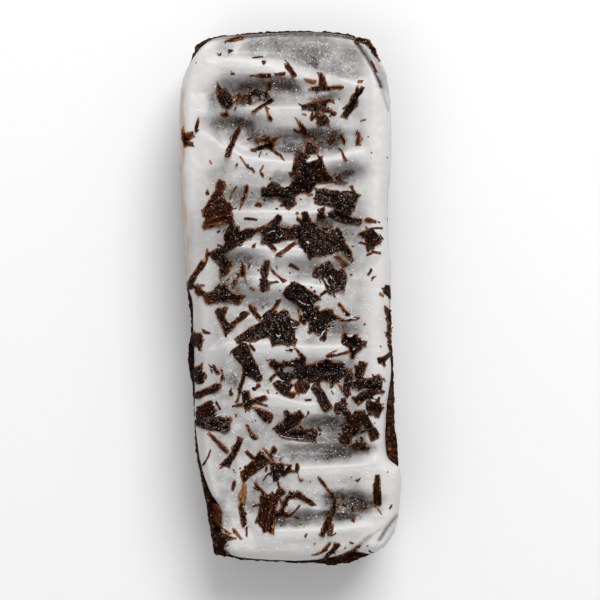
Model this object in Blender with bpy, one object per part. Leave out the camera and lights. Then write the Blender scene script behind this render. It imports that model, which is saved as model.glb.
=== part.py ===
"""A bar of chocolate brownie with white icing and chocolate shavings.

Two pieces: the cake itself, and the icing spread on it. The icing is a sheet with the
crosswise ridges of a spatula, rounded edges and a lip where it hangs over the cake. The
shavings are thin shards of chocolate half sunk in the icing, and are fused to it.
X runs across the bar, Y along it, Z up. The bar stands on Z = 0.
Sizes are in millimetres and become metres when a mesh is made.
"""
import math
import random

import bmesh
import bpy
from mathutils import Vector, noise
from mathutils.bvhtree import BVHTree

MM = 0.001
SEED = 7

CAKE_HEIGHT = 22.0
CAKE_CHAMFER = 0.8          # worn edge of the cut block, top and bottom
CAKE_CRAG = 0.45            # how far the crumb of the cut sides stands in or out
CAKE_COLUMNS = 132
CAKE_LEVELS = 8

GAP = 0.3                   # clearance between the cake and the icing
ICING_RIM = 0.7             # top of the icing's edge above the cake
ICING_LIP = 2.2             # how far the icing droops where it hangs over the cake
ICING_LIP_START = 0.9       # overhang at which it starts to droop
ICING_EDGE = 3.4            # radius of the icing's rounded edge
ICING_THIN = 1.1            # least thickness, at the bottom of a scoop
ICING_FLOOR = 3.6           # thickness in the troughs between ridges
ICING_BAND = 5.6            # thickness of the smooth bands along both long sides
BAND_START = 14.5           # distance from the middle where a band starts to rise
BAND_WIDTH = 5.0
RIDGE_STEEP = 1.2           # reach of a ridge towards +Y, its steep side
RIDGE_GENTLE = 4.2          # reach towards -Y
GRID_ACROSS = 24
GRID_ALONG = 74

SHARD_SINK = 1.0            # depth of a shaving's underside in the icing
SHARD_PROUD = 0.7           # height of its face above the icing
SHARD_JAG = 0.16            # unevenness of its torn outline, as a part of its width

# The sides of the cake and of the icing, seen from above, as (x, y). Left and right run
# from the -Y end to the +Y end, the two ends from left to right.
CAKE_SIDES = {
    "left": [(-17.3, -59.6), (-18.2, -54), (-19.2, -48), (-20.6, -41), (-21.8, -33), (-22.2, -22),
             (-23.3, -14), (-22.7, -6), (-23.6, 3), (-24.2, 20), (-24.2, 40), (-23.6, 52), (-21.6, 58.4)],
    "end": [(-21.6, 58.4), (-19, 60), (-10, 61.2), (1, 61.8), (10, 61.5), (15, 60.6), (19, 58.6)],
    "right": [(21.6, -58.0), (24.0, -52), (24.8, -42), (24.9, -37), (24.3, -29), (23.9, -19), (23.4, -6),
              (22.6, 8), (22.4, 28), (22.3, 44), (21.4, 53), (19, 58.6)],
    "start": [(-17.3, -59.6), (-10, -60.8), (0, -61.4), (8, -61.8), (13, -61.7), (17, -60.1), (21.6, -58.0)],
}
ICING_SIDES = {
    "left": [(-15, -58.4), (-15.6, -54.5), (-16.0, -49), (-18.6, -44.2), (-20.6, -37.5), (-21.8, -28),
             (-21.8, -18), (-22.2, -7), (-22.4, -1), (-23.8, 5), (-24.8, 22), (-25.5, 42), (-24.2, 51.5),
             (-20.7, 57.8)],
    "end": [(-20.7, 57.8), (-17, 60), (-9, 60.9), (0, 61.3), (8, 61.3), (14, 60.4), (17.6, 58.8)],
    "right": [(22.0, -57.5), (24.4, -53.5), (25.5, -46), (25.4, -40), (22.4, -36.4), (22.2, -27),
              (23.4, -17), (22.6, -8), (23.3, 4), (22.5, 20), (23.5, 34), (22.9, 48), (21.2, 54.4),
              (17.6, 58.8)],
    "start": [(-15, -58.4), (-12, -60), (-4, -60.7), (4, -60.8), (10, -60), (15, -59), (19, -59.2),
              (22.0, -57.5)],
}

# Crest of each spatula ridge, left to right as (x, y), with its height.
RIDGES = [
    ([(-19, 53.4), (-14, 54.4), (-1, 54.2), (4, 52.4), (9, 50.8), (15, 49)], 1.9),
    ([(-11, 43.6), (3, 43.4)], 1.5),
    ([(-19, 37.6), (-15, 34.4), (-9, 31.8), (0, 30.9), (9, 32.0), (15, 33.6)], 2.0),
    ([(-13, 19.6), (7, 19.4)], 2.2),
    ([(-12, 11.4), (4, 10.8)], 1.5),
    ([(-10, 4.6), (3, 3.1), (9, 2.2)], 1.7),
    ([(-19, -12.8), (-14, -10.6), (-2, -10.6), (4, -11.6), (14, -11.0)], 1.9),
    ([(-7, -22.4), (5, -24.6)], 1.6),
    ([(2, -39.2), (21, -38.6)], 1.8),
    ([(-5, -53.6), (9, -52.8), (20, -51.0)], 2.2),
]
# Scoops that leave thin icing: (x, y, half length across, half length along, depth).
SCOOPS = [
    (5, 57, 14, 5, 2.8), (-6.8, 47.6, 9, 2.6, 3.2), (-12, 39.2, 6, 2.4, 2.8), (4, 35.4, 10, 2.6, 3.2),
    (12.4, 28.0, 4.5, 2.2, 3.0), (-8.5, 23.0, 6, 1.8, 1.6), (9.3, 16.2, 6, 3.2, 2.6),
    (-11.4, 8.6, 5.5, 2.2, 2.2), (3.4, 6.6, 7, 2.4, 2.0), (-6, -1.4, 8, 2.4, 2.0), (10, -8.0, 5, 2.2, 2.0),
    (5, -17.6, 9, 3.0, 2.4), (8.0, -30.4, 8, 2.6, 2.8), (9.6, -35.6, 9, 1.7, 2.6),
    (14.4, -47.4, 7, 2.3, 3.0), (6, -50.8, 11, 1.6, 2.4), (-8.6, -47.6, 4, 3, 1.4),
]
# The larger shavings: (x, y, length, width, turn in degrees from +X).
SHAVINGS = [
    (-12.8, 59.2, 4.8, 1.3, 12), (-6.3, 51.0, 4.5, 1.3, 0), (0.2, 52.1, 4.3, 1.5, -54),
    (-14.8, 46.2, 6.3, 3.2, -62), (-11.7, 46.2, 3.4, 1.1, 68), (-6.2, 43.9, 6.2, 1.2, 38),
    (-7.6, 47.2, 4.8, 1.8, -15), (-4.7, 42.0, 3.2, 1.0, -62), (-15.0, 42.1, 2.1, 1.3, -3),
    (-21.2, 39.3, 4.0, 1.0, 80), (-22.9, 36.4, 4.6, 2.6, 84), (-12.9, 35.9, 8.0, 1.5, 70),
    (-5.5, 35.6, 8.0, 1.5, 27), (7.5, 49.9, 3.9, 1.6, -74), (8.5, 48.1, 8.0, 1.2, 4),
    (4.8, 49.7, 3.1, 1.1, -10), (14.6, 45.0, 8.8, 1.8, 58), (6.8, 44.4, 9.0, 2.1, 12),
    (7.8, 40.9, 3.0, 2.5, 5), (3.0, 39.0, 5.2, 1.4, -52), (15.9, 36.5, 3.1, 1.3, 88),
    (12.5, 32.7, 3.3, 1.0, -68), (2.5, 31.0, 7.2, 3.2, 80), (5.8, 28.4, 8.4, 5.0, 12),
    (1.4, 25.0, 5.6, 2.4, 12), (-15.7, 25.3, 4.2, 2.2, 68), (-16.4, 19.9, 7.4, 6.2, 26),
    (-10.5, 23.2, 6.2, 1.1, 75), (-3.0, 23.7, 8.0, 3.8, -12), (-5.6, 16.9, 9.0, 1.7, 22),
    (-12.2, 13.5, 9.4, 3.2, 38), (-2.9, 14.3, 7.6, 3.4, 5), (10.9, 22.5, 10.4, 4.0, -9),
    (13.0, 18.3, 8.0, 2.0, -14), (3.8, 17.2, 5.2, 1.8, 88), (7.2, 18.6, 3.4, 2.2, 75),
    (18.5, 17.7, 2.9, 1.0, -14), (18.7, 13.3, 5.6, 3.2, -48), (6.9, 14.9, 6.8, 3.6, -36),
    (10.6, 14.6, 4.6, 3.4, 80), (4.0, 11.3, 6.0, 2.4, -60), (8.3, 12.0, 7.6, 3.8, 8),
    (12.8, 11.6, 5.6, 2.4, -56), (-21.6, 5.9, 7.0, 1.8, 57), (-15.5, 8.0, 7.2, 2.6, -50),
    (-10.7, 5.4, 4.5, 1.4, -75), (-5.6, 4.9, 7.6, 2.2, 87), (-15.0, 0.7, 9.8, 3.4, -5),
    (-15.5, -5.3, 5.4, 1.9, -70), (-12.4, -5.8, 6.6, 1.5, 38), (-7.6, -3.8, 5.4, 1.2, -52),
    (-4.1, -2.4, 5.4, 1.2, 47), (-1.9, -7.0, 8.0, 5.6, -80), (-8.5, -8.4, 8.4, 3.0, 24),
    (-21.0, -10.0, 4.8, 2.6, 82), (-9.7, -14.9, 9.6, 3.2, -58), (0.0, 11.6, 5.6, 1.0, 37),
    (9.9, 4.5, 7.6, 4.6, -76), (2.2, 0.7, 9.6, 3.4, -28), (5.0, -5.0, 6.4, 2.4, -72),
    (8.0, -4.7, 4.8, 3.0, 10), (12.7, -2.9, 4.3, 1.1, -52), (13.9, -5.1, 5.0, 1.1, 12),
    (14.5, -10.1, 5.2, 3.8, -20), (21.8, 1.4, 3.4, 1.8, -60), (22.0, -6.4, 8.4, 1.2, -84),
    (-20.5, -17.9, 4.4, 3.0, 85), (-18.5, -21.5, 6.8, 1.8, 20), (-18.8, -25.7, 5.0, 3.6, 15),
    (-17.2, -29.0, 8.4, 3.2, -8), (-16.2, -33.4, 6.8, 1.0, -45), (-13.3, -35.6, 8.2, 1.7, 57),
    (-11.0, -19.8, 4.8, 1.0, 77), (-9.8, -23.8, 4.4, 1.9, 90), (-8.6, -23.8, 7.8, 1.4, 18),
    (-5.9, -26.9, 5.8, 2.2, -42), (-8.7, -30.8, 4.6, 1.2, -50), (-1.6, -17.6, 6.4, 3.2, -60),
    (1.9, -16.7, 6.0, 4.0, 10), (8.6, -17.0, 8.0, 4.8, -5), (7.0, -22.9, 7.6, 2.0, -58),
    (3.0, -21.2, 2.6, 1.8, 20), (13.3, -19.8, 6.0, 2.2, 84), (16.4, -16.6, 4.2, 1.9, 76),
    (17.7, -19.5, 8.0, 2.2, 14), (18.4, -22.4, 7.6, 2.0, 24), (19.2, -25.3, 4.2, 3.0, -20),
    (11.8, -24.9, 3.6, 2.2, 50), (14.2, -28.2, 7.6, 2.4, -62), (17.8, -29.3, 8.0, 2.2, -57),
    (-0.4, -29.3, 7.6, 3.2, 42), (2.9, -32.0, 7.4, 2.0, -10), (13.3, -32.7, 4.0, 2.8, 10),
    (16.2, -34.4, 5.0, 2.0, -10), (21.4, -14.2, 4.0, 1.4, 35), (-7.9, -39.2, 8.5, 3.0, 42),
    (-10.8, -45.2, 5.2, 1.5, 84), (-10.9, -50.2, 5.4, 1.5, -75), (-5.0, -49.8, 9.0, 3.4, 80),
    (-2.9, -40.4, 5.0, 2.8, -75), (-2.3, -44.8, 2.3, 2.0, 0), (-1.2, -47.8, 5.8, 1.6, 62),
    (8.6, -43.8, 6.8, 1.0, -56), (3.2, -46.2, 6.6, 1.3, -28), (9.2, -51.3, 8.0, 1.8, 62),
    (20.1, -44.4, 7.6, 1.7, 89), (7.3, -58.0, 5.4, 1.0, 35), (9.7, -58.0, 5.4, 1.9, 45),
    (13.6, -58.7, 4.6, 1.4, 24), (-14.4, -55.4, 3.6, 2.2, 0),
]


def material(name, colour, roughness):
    made = bpy.data.materials.new(name)
    made.use_nodes = True
    shader = made.node_tree.nodes["Principled BSDF"]
    shader.inputs["Base Color"].default_value = (*colour, 1.0)
    shader.inputs["Roughness"].default_value = roughness
    return made


def smooth(value):
    """Ease from 0 to 1 as the value goes from 0 to 1."""
    value = min(max(value, 0.0), 1.0)
    return value * value * (3.0 - 2.0 * value)


def blend(first, second, share):
    return first + (second - first) * share


def curve_through(points, count):
    """Evenly spaced points on a smooth curve through the given ones."""
    knots = [Vector(point) for point in points]
    knots = [2 * knots[0] - knots[1], *knots, 2 * knots[-1] - knots[-2]]
    dense = []
    for before, start, end, after in zip(knots, knots[1:], knots[2:], knots[3:]):
        for step in range(24):
            t = step / 24
            dense.append(0.5 * (2 * start + (end - before) * t
                                + (2 * before - 5 * start + 4 * end - after) * t * t
                                + (3 * start - before - 3 * end + after) * t ** 3))
    dense.append(knots[-2])
    travelled = [0.0]
    for here, there in zip(dense, dense[1:]):
        travelled.append(travelled[-1] + (there - here).length)
    result = []
    at = 0
    for index in range(count):
        target = travelled[-1] * index / (count - 1)
        while at < len(dense) - 2 and travelled[at + 1] < target:
            at += 1
        share = (target - travelled[at]) / (travelled[at + 1] - travelled[at])
        result.append(dense[at].lerp(dense[at + 1], share))
    return result


def closed_outline(sides, count):
    """The four sides as one ring of points, anticlockwise seen from above."""
    share = count // 4
    ring = curve_through(sides["start"], share // 2 + 1)[:-1]
    ring += curve_through(sides["right"], share * 3 // 2 + 1)[:-1]
    ring += curve_through(sides["end"], share // 2 + 1)[::-1][:-1]
    ring += curve_through(sides["left"], share * 3 // 2 + 1)[::-1][:-1]
    return ring


def outward(ring, index):
    """The level direction that points out of an anticlockwise ring."""
    along = ring[(index + 1) % len(ring)] - ring[index - 1]
    return Vector((along.y, -along.x)).normalized()


def overhang(point, ring):
    """Distance of a point outside a ring, or minus its distance inside."""
    nearest = 1e9
    side = 1.0
    for index, start in enumerate(ring):
        edge = ring[(index + 1) % len(ring)] - start
        share = min(max((point - start).dot(edge) / edge.length_squared, 0.0), 1.0)
        away = point - (start + edge * share)
        if away.length < nearest:
            nearest = away.length
            side = 1.0 if edge.x * away.y - edge.y * away.x < 0 else -1.0
    return nearest * side


def ridge_height(x, y):
    """Height that the spatula's ridges add at a place."""
    height = 0.0
    for crest, top in RIDGES:
        crest_y = crest[0][1]
        for (x0, y0), (x1, y1) in zip(crest, crest[1:]):
            if x >= x0:
                crest_y = blend(y0, y1, smooth((x - x0) / (x1 - x0)))
        away = y - crest_y
        reach = RIDGE_STEEP if away > 0 else RIDGE_GENTLE
        beyond = max(crest[0][0] - x, x - crest[-1][0], 0.0)
        height = max(height, top * math.exp(-(away / reach) ** 2) * (1 - smooth(beyond / 4.0)))
    return height


def scoop_depth(x, y):
    """Depth of the scoops at a place."""
    depth = 0.0
    for centre_x, centre_y, half_x, half_y, deep in SCOOPS:
        spread = ((x - centre_x) / half_x) ** 2 + ((y - centre_y) / half_y) ** 2
        depth = max(depth, deep * math.exp(-spread ** 1.4))
    return depth


def icing_thickness(x, y):
    """Thickness of the icing above the cake, away from its edges."""
    band = smooth((abs(x) - BAND_START) / BAND_WIDTH)
    spread = blend(ICING_FLOOR + ridge_height(x, y), ICING_BAND, band)
    waver = 0.35 * noise.noise(Vector((x, y, 0.0)) * 0.16)
    return max(ICING_THIN, spread - scoop_depth(x, y) + waver)


class IcingPatch:
    """The icing's top: a grid stretched between the four sides of its outline."""

    def __init__(self):
        self.start = curve_through(ICING_SIDES["start"], GRID_ACROSS + 1)
        self.end = curve_through(ICING_SIDES["end"], GRID_ACROSS + 1)
        self.left = curve_through(ICING_SIDES["left"], GRID_ALONG + 1)
        self.right = curve_through(ICING_SIDES["right"], GRID_ALONG + 1)
        self.cake_ring = closed_outline(CAKE_SIDES, CAKE_COLUMNS)

    def place(self, column, row):
        u = column / GRID_ACROSS
        v = row / GRID_ALONG
        between_sides = self.left[row].lerp(self.right[row], u)
        between_ends = self.start[column].lerp(self.end[column], v)
        corners = self.start[0].lerp(self.start[-1], u).lerp(self.end[0].lerp(self.end[-1], u), v)
        return between_sides + between_ends - corners

    def droop(self, point):
        """Share of the full lip that the icing has at a point of its outline."""
        return smooth((overhang(point, self.cake_ring) - ICING_LIP_START) / 0.6)

    def edge_share(self, column, row):
        """0 at the icing's edge, 1 past its rounding."""
        share = 1.0
        across = (self.right[row] - self.left[row]).length / GRID_ACROSS
        along = (self.end[column] - self.start[column]).length / GRID_ALONG
        for away in (column * across, (GRID_ACROSS - column) * across,
                     row * along, (GRID_ALONG - row) * along):
            inside = min(away / ICING_EDGE, 1.0)
            share *= math.sqrt(1.0 - (1.0 - inside) ** 2)
        return share

    def top(self, column, row):
        point = self.place(column, row)
        share = self.edge_share(column, row)
        rim = ICING_RIM
        if share < 1e-6:
            rim -= 0.6 * ICING_LIP * self.droop(point)
        height = blend(rim, icing_thickness(point.x, point.y), share)
        return Vector((point.x, point.y, CAKE_HEIGHT + height))


def mesh_object(name, bm, surface, collection):
    bmesh.ops.recalc_face_normals(bm, faces=bm.faces)
    mesh = bpy.data.meshes.new(name)
    bmesh.ops.scale(bm, vec=(MM, MM, MM), verts=bm.verts)
    bm.to_mesh(mesh)
    bm.free()
    mesh.materials.append(surface)
    made = bpy.data.objects.new(name, mesh)
    collection.objects.link(made)
    return made


def crumb_relief(point, height):
    """How far the crumb of a cut side stands out at a height on it."""
    coarse = noise.noise(Vector((point.x, point.y, height)) * 0.28)
    fine = noise.noise(Vector((point.x, point.y, height)) * 0.75)
    return CAKE_CRAG * (0.7 * coarse + 0.6 * fine)


def build_cake(surface, collection):
    """A block on the cake's outline, raised level by level with rough sides."""
    ring = closed_outline(CAKE_SIDES, CAKE_COLUMNS)
    directions = [outward(ring, index) for index in range(len(ring))]
    body = CAKE_HEIGHT - 2 * CAKE_CHAMFER
    heights = [0.0] + [CAKE_CHAMFER + body * level / CAKE_LEVELS for level in range(CAKE_LEVELS + 1)]
    heights.append(CAKE_HEIGHT)

    def level_points(height):
        inset = CAKE_CHAMFER if height in (0.0, CAKE_HEIGHT) else 0.0
        for point, direction in zip(ring, directions):
            moved = point + direction * (crumb_relief(point, height) - inset)
            yield Vector((moved.x, moved.y, height))

    bm = bmesh.new()
    cap = bm.faces.new([bm.verts.new(point) for point in level_points(heights[0])])
    base = bmesh.ops.duplicate(bm, geom=[cap])["geom"]
    bottom = next(item for item in base if isinstance(item, bmesh.types.BMFace))
    for height in heights[1:]:
        raised = bmesh.ops.extrude_discrete_faces(bm, faces=[cap])["faces"]
        cap = raised[0]
        for vert, point in zip(cap.verts, level_points(height)):
            vert.co = point
    bottom.normal_flip()
    bmesh.ops.remove_doubles(bm, verts=bm.verts, dist=1e-5)
    return mesh_object("brownie", bm, surface, collection)


def border_loop(bm):
    """Vertices along the border of an open grid, in order."""
    loop = [next(v for v in bm.verts if v.is_boundary)]
    edge = next(e for e in loop[0].link_edges if e.is_boundary)
    while True:
        following = edge.other_vert(loop[-1])
        if following is loop[0]:
            return loop
        loop.append(following)
        edge = next(e for e in following.link_edges if e.is_boundary and e is not edge)


def extrude_border(bm, moves):
    """Extrude the open border by one ring; moves(index) is the way each vertex goes."""
    loop = border_loop(bm)
    start_of = {tuple(v.co): index for index, v in enumerate(loop)}
    edges = [e for e in bm.edges if e.is_boundary]
    made = bmesh.ops.extrude_edge_only(bm, edges=edges)["geom"]
    for vert in (item for item in made if isinstance(item, bmesh.types.BMVert)):
        vert.co += moves(start_of[tuple(vert.co)])


def build_icing_sheet(surface, collection):
    """The icing without its shavings: top grid, lip and flat underside."""
    patch = IcingPatch()
    bm = bmesh.new()
    bmesh.ops.create_grid(bm, x_segments=GRID_ACROSS, y_segments=GRID_ALONG, size=1.0)
    for vert in bm.verts:
        column = round((vert.co.x + 1) / 2 * GRID_ACROSS)
        row = round((vert.co.y + 1) / 2 * GRID_ALONG)
        vert.co = patch.top(column, row)

    loop = [vert.co.copy() for vert in border_loop(bm)]
    level = [point.to_2d() for point in loop]
    turns = sum(a.x * b.y - a.y * b.x for a, b in zip(level, level[1:] + level[:1]))
    inward = [outward(level, index) * (-1 if turns > 0 else 1) for index in range(len(level))]
    over = [overhang(point, patch.cake_ring) for point in level]
    droop = [patch.droop(point) for point in level]
    underside = CAKE_HEIGHT + GAP

    def lip(index):
        lowest = underside + 0.1 - ICING_LIP * droop[index]
        return Vector((0, 0, lowest - loop[index].z))

    def under_lip(index):
        inset = blend(0.5, over[index] - GAP - 0.1, droop[index])
        return Vector((*(inward[index] * inset), -0.1))

    def up_to_cake(index):
        rise = ICING_LIP * droop[index]
        return Vector((*(inward[index] * 0.08), rise))

    for moves in (lip, under_lip, up_to_cake):
        extrude_border(bm, moves)
    bmesh.ops.holes_fill(bm, edges=[e for e in bm.edges if e.is_boundary], sides=0)
    return mesh_object("icing", bm, surface, collection)


def surface_point(icing_tree, x, y):
    """The icing's surface at (x, y), in millimetres."""
    hit = icing_tree.ray_cast(Vector((x, y, 2 * CAKE_HEIGHT)), Vector((0, 0, -1)))
    return hit[0] if hit[0] else Vector((x, y, CAKE_HEIGHT + ICING_RIM))


def build_shaving(index, shaving, icing_tree, surface, collection):
    """A flat shard with torn ends, laid on the icing and half sunk in it."""
    x, y, length, width, turn = shaving
    draw = random.Random(SEED * 1000 + index)
    heading = Vector((math.cos(math.radians(turn)), math.sin(math.radians(turn))))
    across = Vector((-heading.y, heading.x))
    tips = [Vector((x, y)) + heading * (sign * 0.42 * length) for sign in (-1, 1)]
    flanks = [Vector((x, y)) + across * (sign * 0.4 * width) for sign in (-1, 1)]
    tail, head, right, left = (surface_point(icing_tree, *point) for point in (*tips, *flanks))
    middle = surface_point(icing_tree, x, y)
    centre = (tail + head + 2 * middle) / 4
    along = (head - tail).normalized()
    sideways = (left - right).normalized()
    normal = along.cross(sideways).normalized()
    sideways = normal.cross(along)

    bm = bmesh.new()
    outline = bmesh.ops.create_circle(bm, cap_ends=True, segments=8, radius=1.0)["verts"]
    for vert in outline:
        s = min(max(vert.co.x * 1.35, -1), 1) * (1 + draw.uniform(-SHARD_JAG, SHARD_JAG) * width / length)
        t = min(max(vert.co.y * 1.6, -1), 1) * (1 + draw.uniform(-SHARD_JAG, SHARD_JAG) * 1.4)
        vert.co = Vector((s * length / 2, t * width / 2, 0))
    raised = bmesh.ops.extrude_face_region(bm, geom=list(bm.faces))["geom"]
    upper = {item for item in raised if isinstance(item, bmesh.types.BMVert)}
    lowest = CAKE_HEIGHT + GAP + 0.25 + draw.uniform(0, 0.15)
    for vert in bm.verts:
        rise = SHARD_PROUD if vert in upper else -SHARD_SINK
        at = centre + along * vert.co.x + sideways * vert.co.y + normal * rise
        at.z = max(at.z, lowest + (1.0 if vert in upper else 0.0))
        vert.co = at
    return mesh_object("shaving_%02d" % index, bm, surface, collection)


def fuse_shavings(icing, surface):
    """Lay the shavings and join them all to the icing in one union."""
    bm = bmesh.new()
    bm.from_mesh(icing.data)
    bmesh.ops.scale(bm, vec=(1 / MM, 1 / MM, 1 / MM), verts=bm.verts)
    tree = BVHTree.FromBMesh(bm)
    bm.free()
    toppings = bpy.data.collections.new("shavings")
    bpy.context.scene.collection.children.link(toppings)
    for index, shaving in enumerate(SHAVINGS):
        build_shaving(index, shaving, tree, surface, toppings)
    union = icing.modifiers.new("shavings", "BOOLEAN")
    union.operation = "UNION"
    union.operand_type = "COLLECTION"
    union.collection = toppings
    union.solver = "MANIFOLD"
    bpy.context.view_layer.objects.active = icing
    bpy.ops.object.modifier_apply(modifier=union.name)
    for shard in list(toppings.objects):
        bpy.data.objects.remove(shard)
    bpy.data.collections.remove(toppings)


def main():
    for leftover in list(bpy.data.objects):
        bpy.data.objects.remove(leftover)
    bar = bpy.data.collections.new("brownie_bar")
    bpy.context.scene.collection.children.link(bar)
    cake_surface = material("chocolate_cake", (0.022, 0.009, 0.005), 0.9)
    icing_surface = material("white_icing", (0.62, 0.61, 0.60), 0.6)
    build_cake(cake_surface, bar)
    icing = build_icing_sheet(icing_surface, bar)
    fuse_shavings(icing, icing_surface)


main()
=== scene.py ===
"""Looks of an iced brownie bar: crumbly cake, spread icing, shaved chocolate, sugar grains.

Lengths are in millimetres and become metres when a mesh is made. X runs across the bar, Y
along it, Z up, and the bar stands on Z = 0, as its solids do.
"""

import math
import random
from functools import partial

import bmesh
import bpy
import numpy as np
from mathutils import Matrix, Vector, geometry, noise
from mathutils.bvhtree import BVHTree

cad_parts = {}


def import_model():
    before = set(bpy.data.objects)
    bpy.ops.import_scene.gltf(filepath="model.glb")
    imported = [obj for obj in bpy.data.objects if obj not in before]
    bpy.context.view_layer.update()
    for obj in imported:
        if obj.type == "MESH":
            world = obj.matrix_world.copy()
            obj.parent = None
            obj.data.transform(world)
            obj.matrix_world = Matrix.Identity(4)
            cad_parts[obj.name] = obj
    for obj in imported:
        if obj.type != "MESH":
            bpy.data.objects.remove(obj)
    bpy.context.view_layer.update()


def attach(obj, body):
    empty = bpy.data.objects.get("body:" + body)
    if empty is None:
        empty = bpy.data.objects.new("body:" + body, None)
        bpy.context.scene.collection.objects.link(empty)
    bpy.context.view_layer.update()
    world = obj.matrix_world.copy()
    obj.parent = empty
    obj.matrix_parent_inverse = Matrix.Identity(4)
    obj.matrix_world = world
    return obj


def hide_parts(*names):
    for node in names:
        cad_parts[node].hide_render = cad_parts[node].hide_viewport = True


MM = 0.001
SEED = 7

# Sizes that the solids have too.
BAR_WIDTH = 51.0            # this and the length to the nearest millimetre
BAR_LENGTH = 124.0
CAKE_HEIGHT = 22.0
CAKE_CHAMFER = 0.8          # worn edge of the cut block
GAP = 0.3                   # clearance between the cake and the icing
ICING_RIM = 0.7             # top of the icing's edge above the cake
ICING_LIP = 2.2             # how far the icing droops where it hangs over the cake
ICING_LIP_START = 0.9       # overhang at which it starts to droop
ICING_EDGE = 3.4            # radius of the icing's rounded edge
ICING_THIN = 1.1            # least thickness, at the bottom of a scoop
ICING_FLOOR = 3.6           # thickness in the troughs between ridges
ICING_BAND = 5.6            # thickness of the smooth bands along both long sides
BAND_START = 14.5           # distance from the middle where a band starts to rise
BAND_WIDTH = 5.0
RIDGE_STEEP = 1.2           # reach of a ridge towards +Y, its steep side
RIDGE_GENTLE = 4.2          # reach towards -Y
RIDGE_FADE = 4.0            # length over which a ridge dies away past either end

# Sizes of the finer forms.
ICING_LEAST = 0.8           # least thickness, at the bottom of a fold
WAVER_SIZE = 6.25           # from one slow swell of the icing to the next
FOLD_WIDTH = 0.55
FOLD_DEPTH = 1.3
FOLD_DROP = 0.9             # how much lower the icing outside a fold is
# The dark line along a fold is painted shade in its crease.
FOLD_SHADE = 0.45           # reach of the dark line along a fold
TORN_DEPTH = 0.11           # unevenness of a shaving's torn rim
BEVEL_WIDTH = 0.35          # width over which a shaving thins towards its rim
STEEPEST_LIE = 0.7          # rise over run of the steepest shaving
THREAD_SIDES = 8
STREWN_GRAINS = 2400
GRAINS_ON_CHOCOLATE = 900

# Fineness of the meshes.
ICING_CELL = 0.28
CAKE_CELL = 0.50
BARE_TOP_RINGS = 9          # rings of the cake's top that may show past the icing
SHAVING_CELL = 0.42
TORN_STEP = 0.34
HEIGHT_CELL = 0.25          # raster on which the shavings are laid
RASTER_X = 27.0             # the raster's reach from the middle, across the bar
RASTER_Y = 64.0             # and along it
ABOVE_ALL = 60.0            # height from which the raster's rays go down

# Kept at a shaving's underside, so that the brown of its rim ends just under its upper edge.
NO_RIM = -3.0

# The sides of the cake and of the icing, seen from above, as (x, y). Left and right run
# from the -Y end to the +Y end, the two ends from left to right.
CAKE_SIDES = {
    "left": [(-17.3, -59.6), (-18.2, -54), (-19.2, -48), (-20.6, -41), (-21.8, -33), (-22.2, -22),
             (-23.3, -14), (-22.7, -6), (-23.6, 3), (-24.2, 20), (-24.2, 40), (-23.6, 52), (-21.6, 58.4)],
    "end": [(-21.6, 58.4), (-19, 60), (-10, 61.2), (1, 61.8), (10, 61.5), (15, 60.6), (19, 58.6)],
    "right": [(21.6, -58), (24, -52), (24.8, -42), (24.9, -37), (24.3, -29), (23.9, -19), (23.4, -6),
              (22.6, 8), (22.4, 28), (22.3, 44), (21.4, 53), (19, 58.6)],
    "start": [(-17.3, -59.6), (-10, -60.8), (0, -61.4), (8, -61.8), (13, -61.7), (17, -60.1), (21.6, -58)],
}
ICING_SIDES = {
    "left": [(-15, -58.4), (-15.6, -54.5), (-16, -49), (-18.6, -44.2), (-20.6, -37.5), (-21.8, -28),
             (-21.8, -18), (-22.2, -7), (-22.4, -1), (-23.8, 5), (-24.8, 22), (-25.5, 42), (-24.2, 51.5),
             (-20.7, 57.8)],
    "end": [(-20.7, 57.8), (-17, 60), (-9, 60.9), (0, 61.3), (8, 61.3), (14, 60.4), (17.6, 58.8)],
    "right": [(22, -57.5), (24.4, -53.5), (25.5, -46), (25.4, -40), (22.4, -36.4), (22.2, -27), (23.4, -17),
              (22.6, -8), (23.3, 4), (22.5, 20), (23.5, 34), (22.9, 48), (21.2, 54.4), (17.6, 58.8)],
    "start": [(-15, -58.4), (-12, -60), (-4, -60.7), (4, -60.8), (10, -60), (15, -59), (19, -59.2),
              (22, -57.5)],
}

# Crest of each spatula ridge, left to right as (x, y), with its height above the troughs.
RIDGES = [
    ([(-19, 53.4), (-14, 54.4), (-1, 54.2), (4, 52.4), (9, 50.8), (15, 49)], 1.9),
    ([(-11, 43.6), (3, 43.4)], 1.5),
    ([(-19, 37.6), (-15, 34.4), (-9, 31.8), (0, 30.9), (9, 32), (15, 33.6)], 2),
    ([(-13, 19.6), (7, 19.4)], 2.2),
    ([(-12, 11.4), (4, 10.8)], 1.5),
    ([(-10, 4.6), (3, 3.1), (9, 2.2)], 1.7),
    ([(-19, -12.8), (-14, -10.6), (-2, -10.6), (4, -11.6), (14, -11)], 1.9),
    ([(-7, -22.4), (5, -24.6)], 1.6),
    ([(2, -39.2), (21, -38.6)], 1.8),
    ([(-5, -53.6), (9, -52.8), (20, -51)], 2.2),
]

# Hollows that the spatula scooped: (x, y, half length in X, half length in Y, depth).
SCOOPS = [
    (5, 57, 14, 5, 2.8), (-6.8, 47.6, 9, 2.6, 3.2), (-12, 39.2, 6, 2.4, 2.8), (4, 35.4, 10, 2.6, 3.2),
    (12.4, 28, 4.5, 2.2, 3), (-8.5, 23, 6, 1.8, 1.6), (9.3, 16.2, 6, 3.2, 2.6), (-11.4, 8.6, 5.5, 2.2, 2.2),
    (3.4, 6.6, 7, 2.4, 2), (-6, -1.4, 8, 2.4, 2), (10, -8, 5, 2.2, 2), (5, -17.6, 9, 3, 2.4),
    (8, -30.4, 8, 2.6, 2.8), (9.6, -35.6, 9, 1.7, 2.6), (14.4, -47.4, 7, 2.3, 3), (6, -50.8, 11, 1.6, 2.4),
    (-8.6, -47.6, 4, 3, 1.4),
]
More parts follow.
